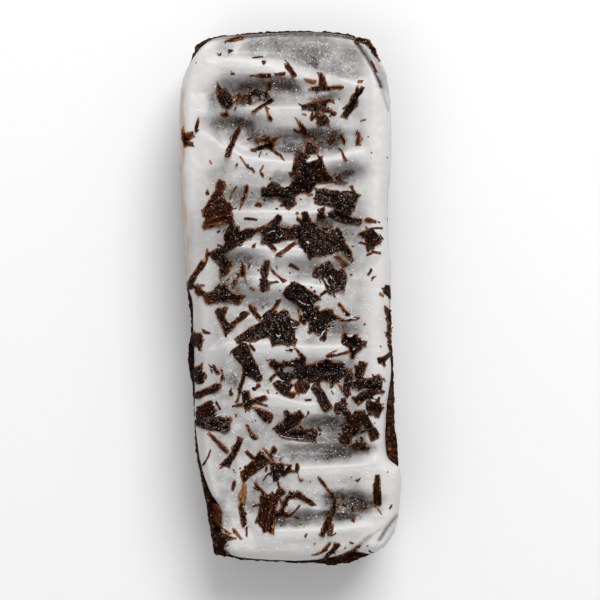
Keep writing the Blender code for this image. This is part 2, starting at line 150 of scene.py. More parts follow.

# Folds in the icing near two corners, with the icing outside them lower and painted shade
# along their creases: (path, how deep and how dark they are).
FOLDS = [
    ([(15, 60.2), (16.4, 57.5), (18, 55), (20, 51), (21, 48.4)], 0.85),
    ([(20.8, 49.2), (21.6, 46.5), (22.8, 43.2)], 0.3),
    ([(24.6, -50.4), (23, -52.2), (22.2, -53.2), (21.4, -54.6), (20.7, -55.6)], 0.6),
    ([(18.4, -55), (17, -56.2), (15.8, -57.4), (14.8, -58)], 0.4),
]

# Where the icing was drawn so thin that the cake shows, and broad faint places where
# painted shade darkens it, along the sides, over the middle and beside the far fold: (x, y,
# half length, half width, turn in degrees from +X, how much of the cake shows or how much
# painted shade).
THIN_AND_SHADED_PLACES = [
    (-18.5, 2, 34, 5, 90, 0.16), (-18, -24, 15, 6, 90, 0.12), (-4, -30, 10, 9, 0, 0.1),
    (4, 52.6, 5, 1.4, -16, 0.16), (-14, 18, 7, 9, 0, 0.14), (14, 15, 4, 9, 0, 0.14),
    (-21, 13, 7, 2.6, 90, 0.12), (4.5, 57.8, 14, 3.6, -3, 0.24), (11.5, 54.2, 6.5, 3.4, -10, 0.24),
    (5.4, 54.2, 2, 1, -20, 0.66), (2.6, 56.2, 3.6, 1.6, 0, 0.4), (12, 51.8, 4.2, 1, -6, 0.35),
    (-5, 59, 5, 2, 0, 0.2), (-20.2, 58.8, 2.6, 0.5, 36, 0.75), (-7.8, 47.6, 10.5, 3.6, 0, 0.34),
    (-9, 48.2, 4.2, 1.5, 14, 0.78), (-8.6, 46, 3.4, 1.4, 0, 0.5), (-0.6, 48.8, 3.6, 1.5, -14, 0.8),
    (-15, 45.6, 3.4, 2.6, 0, 0.55), (-11.2, 45.6, 2.4, 1.3, 0, 0.75), (-11.5, 39.6, 8, 3.2, -6, 0.34),
    (-14.8, 40.4, 3.2, 1.8, 0, 0.42), (-10.8, 40.5, 2.2, 0.9, -10, 0.8), (-8.4, 38.4, 3.4, 1.5, -45, 0.62),
    (-6.4, 36.6, 2.2, 1, 10, 0.7), (2.5, 36.4, 10, 3.2, 3, 0.34), (-0.2, 34.4, 4.2, 1.3, -8, 0.66),
    (8.6, 37.2, 4.4, 2.2, 0, 0.5), (8, 35.2, 4.8, 1.2, 4, 0.66), (10, 37.2, 1.5, 1.1, 0, 0.8),
    (4.6, 37.2, 1.8, 1.8, 0, 0.72), (8, 46, 3.6, 0.8, 8, 0.6), (9, 47, 5.6, 1.8, 4, 0.2),
    (12.4, 28.4, 4.6, 2.2, 24, 0.42), (11.6, 27, 2.2, 1.2, 0, 0.72), (13.4, 28.7, 1.8, 0.7, 22, 0.9),
    (-1.6, 27.6, 3.2, 1.2, 0, 0.42), (-9.8, 22.6, 3.6, 1.3, 0, 0.42), (-13.2, 24, 2.4, 2.6, 0, 0.28),
    (-5.4, 22.4, 2.4, 0.9, 0, 0.4), (-10.4, 8.6, 4.4, 1.5, -8, 0.58), (-12.2, 5.6, 4, 3.6, 0, 0.4),
    (-12.4, 2.4, 4.6, 1.5, 0, 0.42), (-6.6, -1.6, 3.4, 1.4, 0, 0.42), (-12, -2, 3, 1.2, 0, 0.36),
    (3.8, 6.4, 3.6, 1.7, 0, 0.42), (12.4, 8.6, 2.6, 1.8, 30, 0.52), (13.6, 14, 1.6, 2.8, 0, 0.42),
    (8.4, 16.8, 2.2, 2.2, 0, 0.8), (-1.8, 16.4, 2.6, 1, 0, 0.5), (2.4, -2.4, 2.2, 1.8, 0, 0.32),
    (11.2, -8, 3, 1.6, 10, 0.5), (13.8, -6.6, 2, 1, 0, 0.3), (5.6, -9.4, 1.6, 1.2, 0, 0.3),
    (-13, -19.8, 2.6, 1.1, -44, 0.42), (10.4, -19.6, 2.4, 1.4, 0, 0.42), (7.2, -29, 4.8, 1.8, 0, 0.56),
    (11.6, -29, 3.2, 3.2, 0, 0.45), (9.2, -32.8, 4.8, 2.4, 0, 0.38), (12.6, -35.6, 5.2, 1.3, 9, 0.66),
    (16.6, -34, 2.4, 1.6, 0, 0.8), (4.6, -36, 7, 1.5, -2, 0.42), (11.2, -36.6, 3.6, 0.8, 8, 0.5),
    (16.4, -30.6, 1.8, 1.6, 0, 0.6), (14.6, -47.4, 5.4, 2.6, 0, 0.48), (15.6, -47.8, 4, 1.7, 0, 0.78),
    (11.6, -45.8, 3.2, 1, 0, 0.55), (12.8, -50.6, 3.2, 1, 8, 0.84), (6.6, -50.6, 5.6, 1.3, 2, 0.6),
    (0.4, -51.6, 4.6, 1.1, 6, 0.52), (-2.6, -51, 1.6, 1.2, 0, 0.7), (9, -47.6, 1.8, 2.2, 0, 0.5),
    (-8.8, -48.2, 2.4, 1.6, 0, 0.38), (-6.4, -42.6, 3, 1.6, 0, 0.32), (-2.6, -46.8, 2.4, 1.4, 40, 0.4),
    (-3, -36.8, 3, 1.4, 0, 0.36), (21, 51.6, 7, 1.1, -68, 0.34), (-16.5, -59, 5, 1.2, -18, 0.3),
    (-17, 28, 2.4, 2, 0, 0.18), (18.6, 8.4, 3, 1.2, 30, 0.14),
]

# Heaps of small broken bits: (x, y, half length in X, half length in Y, how many).
HEAPS = [
    (8, 12.8, 5.2, 3.6, 20), (-16.2, 0.8, 4.4, 1.6, 6), (-11.6, 5.8, 4.2, 3.2, 10), (-2, -6, 4.2, 3.6, 10),
    (6.8, -5.4, 3.8, 2.6, 12), (0.4, -17.6, 4.4, 3, 16), (9, -17, 5.2, 2.2, 10), (14.2, -30.8, 3, 3, 14),
    (5, -30.8, 4, 1.2, 8), (-3.6, -39.8, 2.6, 2.4, 8), (4.6, 27.4, 3.6, 2.6, 8), (-8, 46.8, 4.2, 1.6, 10),
    (-6.2, 36.4, 3, 1, 5), (8.6, 36.2, 3.6, 1.2, 8), (14, -47.6, 5, 1.6, 9), (7.4, 43, 3.4, 2, 6),
    (-3, 14.6, 4, 1.8, 8), (-14, 13.4, 3.6, 2.4, 8), (14.4, -10.2, 2.4, 1.6, 7), (-9, -20, 3.2, 3.6, 6),
    (16, -56.5, 2.4, 1.4, 3), (-7.6, -40, 4, 2.4, 6), (18.6, 13.4, 2.4, 2, 6), (11.6, 27.2, 2.2, 1.4, 8),
    (-1, -45.4, 3.2, 1.8, 6), (17.4, -22.6, 3.6, 2.6, 8), (12.4, -26, 1.8, 1.6, 6),
]

# Icing smeared in threads over the shavings, and white streaks on the chocolate that are
# painted highlights standing in for its glints: (path, radius).
ICING_THREADS_AND_GLINTS = [
    ([(15.4, -4.9), (14.2, -4.8), (13.2, -4.8), (12.6, -5.2)], 0.15), ([(10.5, -5.4), (9.6, -5.5)], 0.15),
    ([(10.3, -6.9), (9.5, -6.9), (8.7, -7.2), (8, -7.7), (7.5, -8.4), (7.2, -9.1)], 0.2),
    ([(7.2, -9.1), (6.8, -9.2), (6.5, -9.7), (6.8, -10.2)], 0.18),
    ([(13.2, -8.6), (14, -8.9), (14.8, -8.5)], 0.32), ([(16.3, -9.8), (17.3, -9.5)], 0.24),
    ([(14.5, -12), (15, -11.6)], 0.18), ([(3.9, 12.9), (4.5, 12.3)], 0.3),
    ([(14.1, -2), (14.25, -3), (14, -3.9)], 0.16), ([(-5, 14.6), (-4, 15.2), (-2.6, 15.2)], 0.12),
    ([(-1.9, 14.9), (-1.8, 14.2), (-2.3, 13.8)], 0.14), ([(0.4, -14.9), (1, -15.3)], 0.16),
    ([(1.9, -0.6), (3.2, -1.4), (4.6, -1.8)], 0.12), ([(-17.2, -27.3), (-15.2, -27), (-13.6, -27.6)], 0.13),
    ([(0.6, -6.9), (2, -6.8), (3.2, -6.3)], 0.13), ([(-3.2, -8.4), (-2.6, -8.9), (-1.9, -8.6)], 0.17),
    ([(0.2, -5.4), (0.9, -5.9)], 0.15), ([(5.6, -4.9), (6.3, -4.5)], 0.2),
    ([(8, 4.6), (8.6, 3.4), (9.2, 2.6)], 0.14), ([(9.2, 5.2), (9.8, 4.2)], 0.12),
    ([(-3.2, -31.4), (-0.4, -32.2), (3.2, -32.6)], 0.08),
]

# Pieces of chocolate by outline, from the far end to the near end: (tone, bloom and sheen,
# direction of the cut in degrees from +X, corners). Tone 0 is near black, 0.4 brown, 0.9 tan;
# the second is how much dull grey lies on it, partly bloom and partly painted sheen. Later ones
# lie on earlier ones.
CHOCOLATE_PIECES = [
    # Far end.
    (0.3, 0, 12, [(-15.1, 59.1), (-13.5, 58.8), (-10.6, 59.5), (-10.3, 60.3), (-11.5, 60.6),
        (-13.2, 60.1)]),
    (0.25, 0, 0, [(-16.7, 56.2), (-16.1, 56), (-15.6, 56.5), (-15.7, 55.7), (-16.1, 55.4), (-16.4, 55.8)]),
    (0.3, 0, 0, [(-14.2, 57.2), (-13.4, 57.1), (-12.9, 56.9), (-13.4, 56.6), (-14.1, 56.1)]),
    (0.6, 0, 0, [(-6.4, 54.3), (-6, 54.6), (-5.3, 54.4), (-5.5, 53.8), (-5.9, 53.4), (-6.3, 53.9)]),
    (0.5, 0, 0, [(-13.7, 51.3), (-13, 51.7), (-12.5, 51.5), (-12.6, 51.1), (-13.4, 51.1)]),
    (0.06, 0.1, 0, [(-8.6, 50.9), (-7, 51.5), (-4.2, 51.5), (-4.1, 50.5), (-6, 50.4), (-7.6, 50.6)]),
    (0.08, 0.6, -64, [(-16.6, 49.6), (-15.7, 48.3), (-14.6, 48.4), (-14.1, 47.6), (-13.6, 46.2),
        (-12.6, 45.4), (-12.9, 44.4), (-13.7, 43.3), (-14.4, 43.2), (-15.6, 44.2), (-16.3, 45.6),
        (-16.9, 47.4)]),
    (0.28, 0, 68, [(-11.5, 47.8), (-11.2, 46.9), (-10.4, 46), (-11.3, 45.8), (-12.3, 45), (-12.7, 45.3),
        (-12.1, 46.6)]),
    (0.16, 0.5, 80, [(-9.9, 46.4), (-9.3, 47.2), (-8.7, 46.4), (-8.6, 45.4), (-8.9, 44.3), (-10.2, 44.3),
        (-9.9, 45.2)]),
    (0.14, 0.7, -14, [(-9.3, 46.8), (-9.2, 47.9), (-7.6, 48.3), (-6, 48), (-5, 47.4), (-3.9, 46.2),
        (-4.6, 45.8), (-5.8, 46.8), (-7.2, 47.2)]),
    (0.1, 0.4, 60, [(-5.6, 49.2), (-4.9, 49.9), (-4, 49.9), (-3.8, 49.1), (-4.4, 48), (-5.3, 47.9)]),
    (0.5, 0, -15, [(-9.8, 48.9), (-9.4, 49), (-8.5, 48.6), (-8.7, 48.3), (-9.5, 48.5)]),
    (0.06, 0.1, 40, [(-8.8, 42.6), (-8.4, 41.8), (-6.5, 43.3), (-3.6, 45.2), (-3.8, 46.2), (-4.8, 45.6),
        (-7.2, 43.9)]),
    (0.06, 0, -62, [(-5.5, 43.4), (-5, 43.4), (-4.4, 41.8), (-3.7, 40.9), (-4.1, 40.3), (-4.9, 40.8),
        (-5.2, 41.9)]),
    (0.34, 0, 0, [(-16, 42.7), (-14.1, 42.6), (-13.9, 41.7), (-15, 41.5), (-15.9, 41.8)]),
    (0.22, 0, -55, [(-1.2, 53.9), (-0.2, 54), (0.9, 52.6), (1.8, 51), (1.3, 50.6), (0.6, 50.2), (0.4, 51),
        (-0.4, 52.2), (-1.1, 53)]),
    (0.24, 0.1, -76, [(6.2, 51.8), (7.5, 51.6), (8.1, 50.8), (8.7, 48.6), (7.6, 48.2), (6.5, 48.4),
        (6.8, 50), (6.6, 51)]),
    (0.09, 0.6, 3, [(4.5, 47.7), (4.9, 48.4), (7, 48.6), (8.9, 48.5), (11.5, 48.7), (12.5, 48.4),
        (12.1, 47.9), (10.5, 47.7), (8.8, 47.4), (6, 47.4)]),
    (0.75, 0, -8, [(3.2, 50.3), (4.8, 50.1), (6.3, 49.9), (6.1, 49.1), (4.9, 49.1), (3.9, 49.4)]),
    (0.06, 0.3, 60, [(11.7, 41.6), (13.4, 41), (13.7, 41.9), (15, 43.6), (15.9, 44.8), (15.7, 46.3),
        (16.8, 47.3), (17.1, 48.2), (16.5, 48.6), (15.9, 47.8), (15.8, 48.8), (15.3, 48.3), (14.9, 47),
        (14, 46.4), (13.5, 44.8), (12.8, 43.4)]),
    (0.07, 0.9, 10, [(2.6, 44), (3.1, 44.3), (4.5, 44.9), (6.2, 45.6), (8, 45.7), (10.3, 45.9),
        (10.4, 45.4), (8.6, 44.8), (8.4, 43.8), (8, 43), (5.4, 42.9), (2.9, 43)]),
    (0.3, 0.3, -18, [(7.4, 43.6), (8.6, 43.6), (9.6, 43.3), (11, 42.5), (10.7, 42), (9, 42.5),
        (7.6, 42.5)]),
    (0.22, 0.6, 70, [(6, 45), (6.6, 45.6), (7.4, 44.8), (7.6, 43.4), (6.8, 42.6), (6.2, 43.6)]),
    (0.1, 0.9, 5, [(5.9, 42.4), (7.4, 42.5), (8.6, 41.9), (9.4, 40.6), (9.1, 39.6), (6.4, 39.4),
        (6.2, 40.8)]),
    (0.06, 0.1, -53, [(1.2, 41.5), (2.2, 40.7), (3.4, 39.4), (4.4, 38.3), (4.1, 37.2), (3.8, 36.7),
        (3.4, 37), (2.6, 38.2), (2.2, 39.3)]),
    (0.05, 0, -35, [(14.9, 59.3), (15.6, 60.3), (17.5, 60.2), (18.6, 59.7), (19.1, 58.9), (19.9, 57.8),
        (20.2, 56.6), (20.4, 55.8), (21.1, 54.9), (20.9, 54.3), (19.9, 55.3), (18.8, 56.6), (17.6, 58.5),
        (16.6, 59.4), (15.6, 58.6)]),
    # Left side and middle, down to the fan.
    (0.1, 0, 85, [(-24.9, 38.6), (-24.3, 39.5), (-24, 38), (-23.2, 37.2), (-22.3, 37), (-22.6, 36.2),
        (-23.6, 35.7), (-23.3, 34.8), (-24.2, 34.3), (-24.5, 35.4), (-24.9, 36.6)]),
    (0.3, 0, 80, [(-21.2, 40.6), (-20.8, 41.4), (-20.6, 40.3), (-21.2, 37.6), (-21.7, 37.4),
        (-21.8, 38.3)]),
    (0.09, 0.5, 70, [(-12.1, 39.4), (-11.5, 39.8), (-11.1, 39.3), (-11.9, 37), (-12.8, 34.5), (-13.6, 32.1),
        (-14.3, 31.9), (-14.9, 32.3), (-14.5, 34), (-13.5, 36.3), (-13, 38)]),
    (0.28, 0.3, 0, [(-7.4, 36.3), (-6.9, 36.9), (-5.6, 36.9), (-5, 37.6), (-4.3, 37.2), (-4.5, 36.5),
        (-5.6, 35.8), (-6.6, 35.9)]),
    (0.04, 0, 27, [(-9.1, 34.1), (-8.7, 33.6), (-6.5, 34), (-4.6, 34.3), (-3.3, 35.2), (-3.4, 35.9),
        (-1.9, 37.2), (-2.1, 37.7), (-3.4, 36.8), (-5, 35.9), (-7, 34.9)]),
    (0.32, 0, -45, [(-4.3, 34.4), (-3.5, 34.5), (-2.7, 33.6), (-1.8, 33.2), (-1.5, 32.4), (-1, 31.3),
        (-1.6, 31.6), (-2.2, 32.4), (-3, 32.8)]),
    (0.5, 0, -50, [(-11.5, 32.4), (-11.1, 32.3), (-10.2, 31), (-9.4, 30), (-8.4, 29.8), (-7.8, 28.9),
        (-8.1, 28.5), (-8.7, 29.2), (-9.7, 29.6), (-10.5, 30.8)]),
    (0.2, 0.2, 30, [(-16.3, 27.3), (-15.6, 27), (-14.9, 26.7), (-14.4, 25.8), (-15, 24.7), (-15.3, 23.9),
        (-14.7, 22.8), (-14.2, 22.1), (-13.5, 21.8), (-13.3, 21.3), (-12.8, 20.8), (-13.2, 19.9),
        (-12.8, 18.9), (-13, 18.2), (-12.4, 17.9), (-12.5, 17.4), (-14, 16.9), (-16.5, 16.4), (-19.5, 15.5),
        (-20, 16.7), (-19.4, 17.9), (-19.2, 18.9), (-20.2, 19.8), (-19.4, 20.9), (-18.6, 22.2),
        (-17.7, 23.8), (-17.1, 24.8), (-16.8, 26.2)]),
    (0.48, 0.1, 20, [(-20, 16.8), (-19.6, 15.5), (-16.8, 16.4), (-14.2, 17.1), (-14.4, 17.8), (-17.4, 17)]),
    (0.38, 0.1, 25, [(-19.3, 18.4), (-17, 18.9), (-14.4, 19.9), (-14.2, 20.6), (-17.2, 19.6), (-20, 19.4)]),
    (0.5, 0, 34, [(-19.3, 20.8), (-17.6, 21.4), (-15.4, 22.8), (-15.2, 23.5), (-17, 22.4), (-19, 21.4)]),
    (0.32, 0.3, 26, [(-18.6, 19.8), (-16, 20.8), (-13.8, 21.7), (-14.1, 22.1), (-16.4, 21.4),
        (-18.2, 20.6)]),
    (0.48, 0.1, 16, [(-18, 17.6), (-15.2, 18.5), (-13.1, 18.8), (-13.2, 19.3), (-15.6, 19.2),
        (-17.9, 18.2)]),
    (0.4, 0, 38, [(-17.8, 23.3), (-17.2, 23.2), (-15.6, 24.2), (-15.4, 24.7), (-16.6, 24.4)]),
    (0.3, 0, 70, [(-18.7, 24.9), (-18.4, 24.2), (-18.3, 23.6), (-19, 23.4), (-19.3, 24.1)]),
    (0.3, 0, 55, [(-12.4, 25.7), (-11.9, 25.6), (-12.2, 25.1), (-13.2, 23.9), (-13.5, 22.7), (-13.8, 22.4),
        (-13.9, 22.9), (-13.5, 24.1)]),
    (0.09, 0, 76, [(-10.4, 25.8), (-9.7, 26.1), (-9.3, 25.5), (-9.5, 24.6), (-10.1, 22.8), (-10.9, 21),
        (-11.2, 20), (-11.6, 20), (-11.4, 21), (-11, 22.8), (-10.6, 24.5)]),
    (0.04, 0.7, -10, [(-6.5, 25.6), (-5.4, 25.5), (-4.9, 26.2), (-4, 26.8), (-2.4, 26.2), (-1.9, 25.5),
        (-0.5, 25.4), (0.6, 25.8), (1.2, 24.6), (1.4, 23.2), (1.3, 22.5), (1.8, 21.6), (1, 21), (-0.1, 20),
        (-0.9, 20.5), (-1.4, 21.6), (-2.5, 22.4), (-2.8, 22.9), (-4.2, 22.8), (-6.5, 23.2), (-6.7, 24.2)]),
    (0.15, 0, 10, [(-2.4, 21.2), (-1.7, 21.8), (-1, 21.4), (-1.3, 20.9), (-2.1, 20.8)]),
    # Right of them.
    (0.1, 0.5, 80, [(3.7, 35.9), (4.4, 36.3), (5.3, 36.1), (5.6, 35.2), (6.3, 35.1), (6.8, 35.1), (6.9, 34),
        (6.6, 33.3), (7.1, 32), (6.6, 31.9), (6.2, 33.1), (5.3, 32.9), (4.6, 33), (3.4, 33.2),
        (3.6, 34.4)]),
    (0.12, 1, 80, [(1.5, 34), (2.6, 34.4), (3.2, 33.4), (4.7, 32.7), (3.9, 31.2), (3.2, 30), (2.8, 27.5),
        (0.6, 27.2), (0.6, 29.5), (0.9, 31.5), (1.2, 33.2)]),
    (0, 0.2, 12, [(3.2, 30.7), (5.2, 31.3), (6.6, 31.8), (7.6, 32.2), (7.7, 31.2), (8.3, 29.8), (9, 28.6),
        (9.9, 27.7), (9.3, 26.6), (8.5, 26.2), (6.4, 26.2), (5.8, 25.6), (5.2, 24.4), (4, 23.8),
        (2.5, 23.9), (1.6, 23.5), (0.8, 24.4), (-0.2, 25), (0, 26), (0.6, 26.9), (2.6, 27.4), (2.8, 29)]),
    (0.4, 0.2, 82, [(1.8, 30.4), (2.6, 30.6), (2.8, 28.8), (2.6, 27.4), (1.2, 27.4), (1.6, 28.8)]),
    (0.4, 0, 55, [(6, 28.9), (6.3, 28.8), (6.9, 29.5), (6.7, 29.8)]),
    (0.12, 0.6, 0, [(-0.3, 28.8), (0.4, 28.9), (0.8, 28), (0.3, 27.6), (-0.1, 28)]),
    (0.04, 1, -10, [(6.1, 25), (7.8, 25.2), (9.6, 24.7), (11, 24.9), (12.2, 24), (13.4, 23.7), (13.4, 24.4),
        (14.6, 24.4), (16.5, 23.6), (15.8, 22.7), (15.5, 21.7), (15, 20.2), (14, 18.8), (13.4, 19.4),
        (12.4, 20.2), (10.2, 20.6), (8.2, 21.2), (6.6, 21.3), (5.6, 21.7), (5.8, 23.3)]),
    (0, 0.8, -16, [(8.9, 19.5), (9.4, 20), (10.5, 20.3), (12.3, 20), (13.9, 18.8), (14.3, 18.6),
        (16.7, 18.1), (16.7, 17.2), (16.2, 16.5), (13, 16.9), (11, 17.4), (9.8, 18.2), (8.8, 18.6)]),
    (0.34, 0.2, -8, [(17, 17.7), (17.5, 18.3), (18.6, 18.3), (19.9, 17.7), (20, 17.1), (18.4, 17),
        (17.5, 17.3)]),
    (0.16, 0.1, 80, [(6.4, 20.3), (7, 20.4), (8.1, 21.1), (8.3, 20.6), (8.1, 19.2), (8.5, 18.3), (8, 17.8),
        (6.4, 17.4), (6.6, 19.2)]),
    (0.05, 0, 88, [(2.7, 19.5), (3.4, 19.9), (4.2, 19.7), (4.6, 18.6), (4.9, 17.8), (5, 16.6), (2.6, 16.6),
        (2.9, 18.2)]),
    (0.8, 0, 0, [(1.3, 19.3), (1.7, 19.7), (2.2, 19.5), (2.2, 19.1), (1.7, 18.9)]),
    (0.5, 0, -66, [(11.8, 34.2), (12.2, 33.9), (12.6, 32.6), (13.4, 31.4), (13.2, 31), (12.5, 31),
        (12.2, 32), (11.8, 33.4)]),
    (0.38, 0.3, 88, [(15.6, 38.1), (16.2, 38.1), (16.4, 37), (16.9, 36.6), (16.8, 36.1), (16.4, 36.3),
        (16.5, 34.9), (15.2, 34.9), (15.1, 35.6), (15.4, 36.7)]),
    # Left side and middle, from the fan to the big V.
    (0.1, 0.2, 57, [(-20.2, 8.8), (-19.6, 8.3), (-19.3, 8), (-20, 6.6), (-21, 4.9), (-21.8, 3.4),
        (-22.2, 2), (-23, 1.6), (-23.6, 2.6), (-23.7, 3.6), (-22.8, 4.9), (-21.6, 6.5)]),
    (0.4, 0, 72, [(-19, 11.3), (-18.6, 11.2), (-18.4, 10), (-18.6, 8.8), (-19.2, 7.3), (-20.2, 6.6),
        (-19.9, 7.4), (-19.4, 8.8), (-19.3, 10)]),
    (0.1, 1, -40, [(-21.9, 2.8), (-21, 3.3), (-20.4, 2.7), (-19.9, 1.9), (-19.3, 1), (-19.9, 0.3),
        (-21, 0.3), (-21.8, 1)]),
    (0.45, 0, -10, [(-20.4, 3.1), (-19.4, 3), (-19.4, 2.6), (-20.2, 2.6)]),
    (0.12, 1, 60, [(-15.1, 13.2), (-14.9, 14.9), (-14.1, 15.8), (-13.4, 17), (-12.6, 17.3), (-12.2, 16.4),
        (-11.4, 16.4), (-11.4, 15.4), (-12.6, 14), (-13.6, 12.8), (-14.6, 12.4)]),
    (0.02, 0.3, 30, [(-16.2, 11.1), (-15.1, 12.4), (-14.2, 13), (-12.8, 14), (-11.4, 15.2), (-10, 15.9),
        (-7.5, 15.9), (-5.2, 16.9), (-4.4, 16), (-7.2, 15.2), (-8, 14.4), (-9.2, 13.7), (-10.4, 13),
        (-11.6, 12), (-13.2, 10.8), (-14.8, 10), (-15.7, 10.4)]),
    (0.08, 0.4, -48, [(-18.1, 10.6), (-16.8, 11.4), (-16.1, 11.2), (-15.4, 10.2), (-14.6, 9.2),
        (-13.6, 8.2), (-12.6, 7.6), (-13, 7.1), (-13.9, 6.9), (-13.6, 6), (-14.6, 4.9), (-15.5, 4.8),
        (-15.6, 3.9), (-16.1, 4.8), (-16.2, 6.3), (-16, 7.2), (-17, 8.3), (-18, 9.2), (-18.6, 10)]),
    (0.12, 0.1, -80, [(-11.5, 7.1), (-10.6, 7.6), (-10.1, 7.2), (-10, 5.6), (-9.9, 4.2), (-9.7, 3.2),
        (-10.1, 3.6), (-10.6, 4.9), (-11.1, 5.3), (-11.4, 6.2)]),
    (0.25, 0.2, 60, [(-11.5, 5.4), (-11.2, 5.1), (-12.3, 3.4), (-12.7, 1.9), (-13.2, 1.9), (-13.4, 3.4),
        (-13, 3.2), (-13, 4.4), (-12.4, 4.3)]),
    (0.45, 0, -35, [(-9.2, 2.4), (-8.8, 2.6), (-7.9, 1.8), (-8.1, 1.4), (-8.8, 1.8)]),
    (0.08, 0.8, 88, [(-6.4, 7.7), (-5.9, 7.5), (-5.9, 8.6), (-4.4, 8.7), (-4.3, 7.6), (-4.8, 5.8),
        (-5, 4.2), (-4.2, 3.6), (-4.5, 2.6), (-4.6, 1.6), (-6.2, 1), (-6.8, 1.5), (-6.8, 3.5), (-6.5, 5),
        (-6.9, 6.2)]),
    (0.3, 0.1, -45, [(-4.4, 7.3), (-4, 6.7), (-2.2, 4.9), (-0.8, 4), (-0.8, 3.5), (-1.6, 3.4), (-2.8, 4.8),
        (-4.3, 6.3)]),
    (0.06, 0.8, -4, [(-19.3, 1.2), (-18.2, 1.4), (-17.4, 1.8), (-16.6, 3.1), (-15.7, 3.3), (-14.2, 3.1),
        (-14, 2.2), (-13.3, 1.3), (-12.5, 1), (-11.2, 0.6), (-10, 0.2), (-10.8, -0.5), (-11.3, -1.4),
        (-12.2, -1.7), (-13, -1.2), (-15.4, -1.1), (-16.8, -1.3), (-18, -1.5), (-18.8, -1.4), (-19.6, -0.4),
        (-19.9, 0.5)]),
    (0.48, 0, -24, [(-19.7, 0), (-18.4, -0.4), (-17.4, -0.9), (-17.6, -1.5), (-18.6, -1.7), (-19.3, -1.1)]),
    (0.2, 0, -52, [(-9.6, -1.6), (-9.1, -1.4), (-8, -2.4), (-6.8, -4), (-6.4, -4.6), (-6.8, -5.5),
        (-7.6, -5), (-8.6, -3.8), (-9.2, -2.6)]),
    (0.12, 0.1, 47, [(-2.6, -0.4), (-1.9, -0.3), (-2, -1.2), (-3.2, -2.6), (-4.4, -3.5), (-5.8, -4.7),
        (-6.4, -4.4), (-5.4, -3.2), (-4.2, -2.4), (-3.4, -1.4)]),
    (0.35, 0, -30, [(-5.3, 12.4), (-4.4, 12.7), (-3, 11.4), (-3.1, 10.4), (-4.2, 11), (-5, 11.8)]),
    (0.4, 0, 37, [(-3.3, 9.9), (-2.8, 9.3), (-1.4, 10), (0.4, 11.2), (1.8, 12.4), (1.4, 13.2), (0.2, 12.4),
        (-1.6, 11)]),
    (0.55, 0, 40, [(-8.7, 11.4), (-8.6, 12.1), (-7.7, 12.6), (-7.8, 11.4)]),
    (0.08, 0.3, 42, [(-5, 17), (-3.5, 18.3), (-2.8, 19), (-1.7, 18.7), (-1.6, 17.9), (-2.4, 16.6),
        (-3.5, 16.1), (-5, 16.2)]),
    (0.03, 0.6, 5, [(-7.3, 15.1), (-6.2, 15.9), (-5.2, 16.8), (-3, 17), (-1.4, 16.2), (0, 15.8), (1, 16.8),
        (2.3, 16.6), (2.6, 15), (1.8, 13.4), (0, 13.2), (-1.2, 13), (-2.4, 12.6), (-3.6, 12.5), (-5, 12.3),
        (-6.2, 12.1), (-6.7, 12.6), (-6.4, 13.6), (-6.5, 14.4)]),
    (0.05, 0.8, -40, [(2.7, 17.2), (5, 17.5), (6.4, 17), (7, 15.8), (8.4, 15), (10, 15.3), (11, 16.4),
        (11.8, 15.6), (12.1, 14.6), (12.4, 13.2), (13.2, 12.2), (14, 11), (14.6, 9.6), (14.4, 9.1),
        (13.8, 9.1), (12.8, 9.8), (12, 10.6), (10.6, 10.4), (9.6, 9.9), (8.2, 9.8), (7, 9.2), (6, 9.3),
        (5.2, 9), (4.7, 8.4), (4.2, 9.3), (4, 10.4), (3.2, 11.4), (2.4, 12.2), (1.8, 13), (2.4, 14.4),
        (2.4, 15.8)]),
    (0.5, 0, 60, [(4, 9.8), (4.8, 9.9), (5.3, 9.2), (4.7, 8.2), (4.2, 8.9)]),
    (0.02, 0.2, -62, [(2.2, 14.8), (3.4, 14.4), (4.3, 12.4), (5.2, 10.6), (5.2, 9.5), (4.4, 9.2), (3.4, 11),
        (2, 12.8)]),
    (0.05, 0.2, -58, [(11.2, 12.8), (12, 13.8), (13.4, 12.1), (14.6, 10.2), (14.5, 9.1), (13.7, 9),
        (12.6, 10.2), (11.7, 11.4)]),
    (0.28, 0.5, -42, [(10.1, 9.4), (11.1, 10), (12, 9.2), (13, 8.3), (13.7, 7.7), (13.2, 7.1), (12.2, 6.9),
        (11.8, 7.6), (11.3, 8.5)]),
    (0.2, 0.6, 0, [(13.8, 9), (14.5, 9.3), (14.9, 8.6), (14.7, 7.9), (14, 8)]),
    (0.06, 1, -72, [(5.5, 6.2), (5.8, 7.2), (7, 7.6), (8, 8.2), (9.2, 8.6), (9.9, 8), (10.3, 6.8),
        (11.2, 6.1), (11.9, 6.9), (12.6, 6.6), (13.2, 5.4), (13.3, 4), (12.9, 2.6), (12.8, 1.4),
        (11.8, 1.5), (10.6, 1), (9.8, 0.6), (9, 0.7), (8.6, 1.4), (8.2, 2.6), (7.6, 4), (7, 4.7),
        (6.2, 4.4), (5.3, 4.7), (5.2, 5.5)]),
    (0.02, 0.5, -28, [(-1.8, 0.6), (-1.1, 2), (0.2, 3.3), (1.1, 3.9), (3.2, 2.6), (5.2, 1.3), (7.2, 0.1),
        (6.9, -0.6), (5.8, -1.2), (5.4, -2.4), (5.6, -3), (4.6, -4.2), (3.4, -3.8), (2.4, -2.4),
        (0.9, -1.5), (-0.4, -0.8)]),
    (0.07, 0.6, -50, [(15.5, 14.6), (16.2, 15), (17, 15.4), (17.5, 15.5), (17.4, 16.5), (18.1, 15.9),
        (19.2, 15.8), (20, 14.7), (21, 13.6), (21.3, 12.7), (20.2, 12.2), (19.4, 11.6), (19.5, 11),
        (18.6, 11), (18.2, 10.2), (17.6, 10.6), (17.5, 11.8), (17.7, 12.8), (17.2, 13.8), (16.4, 14.1)]),
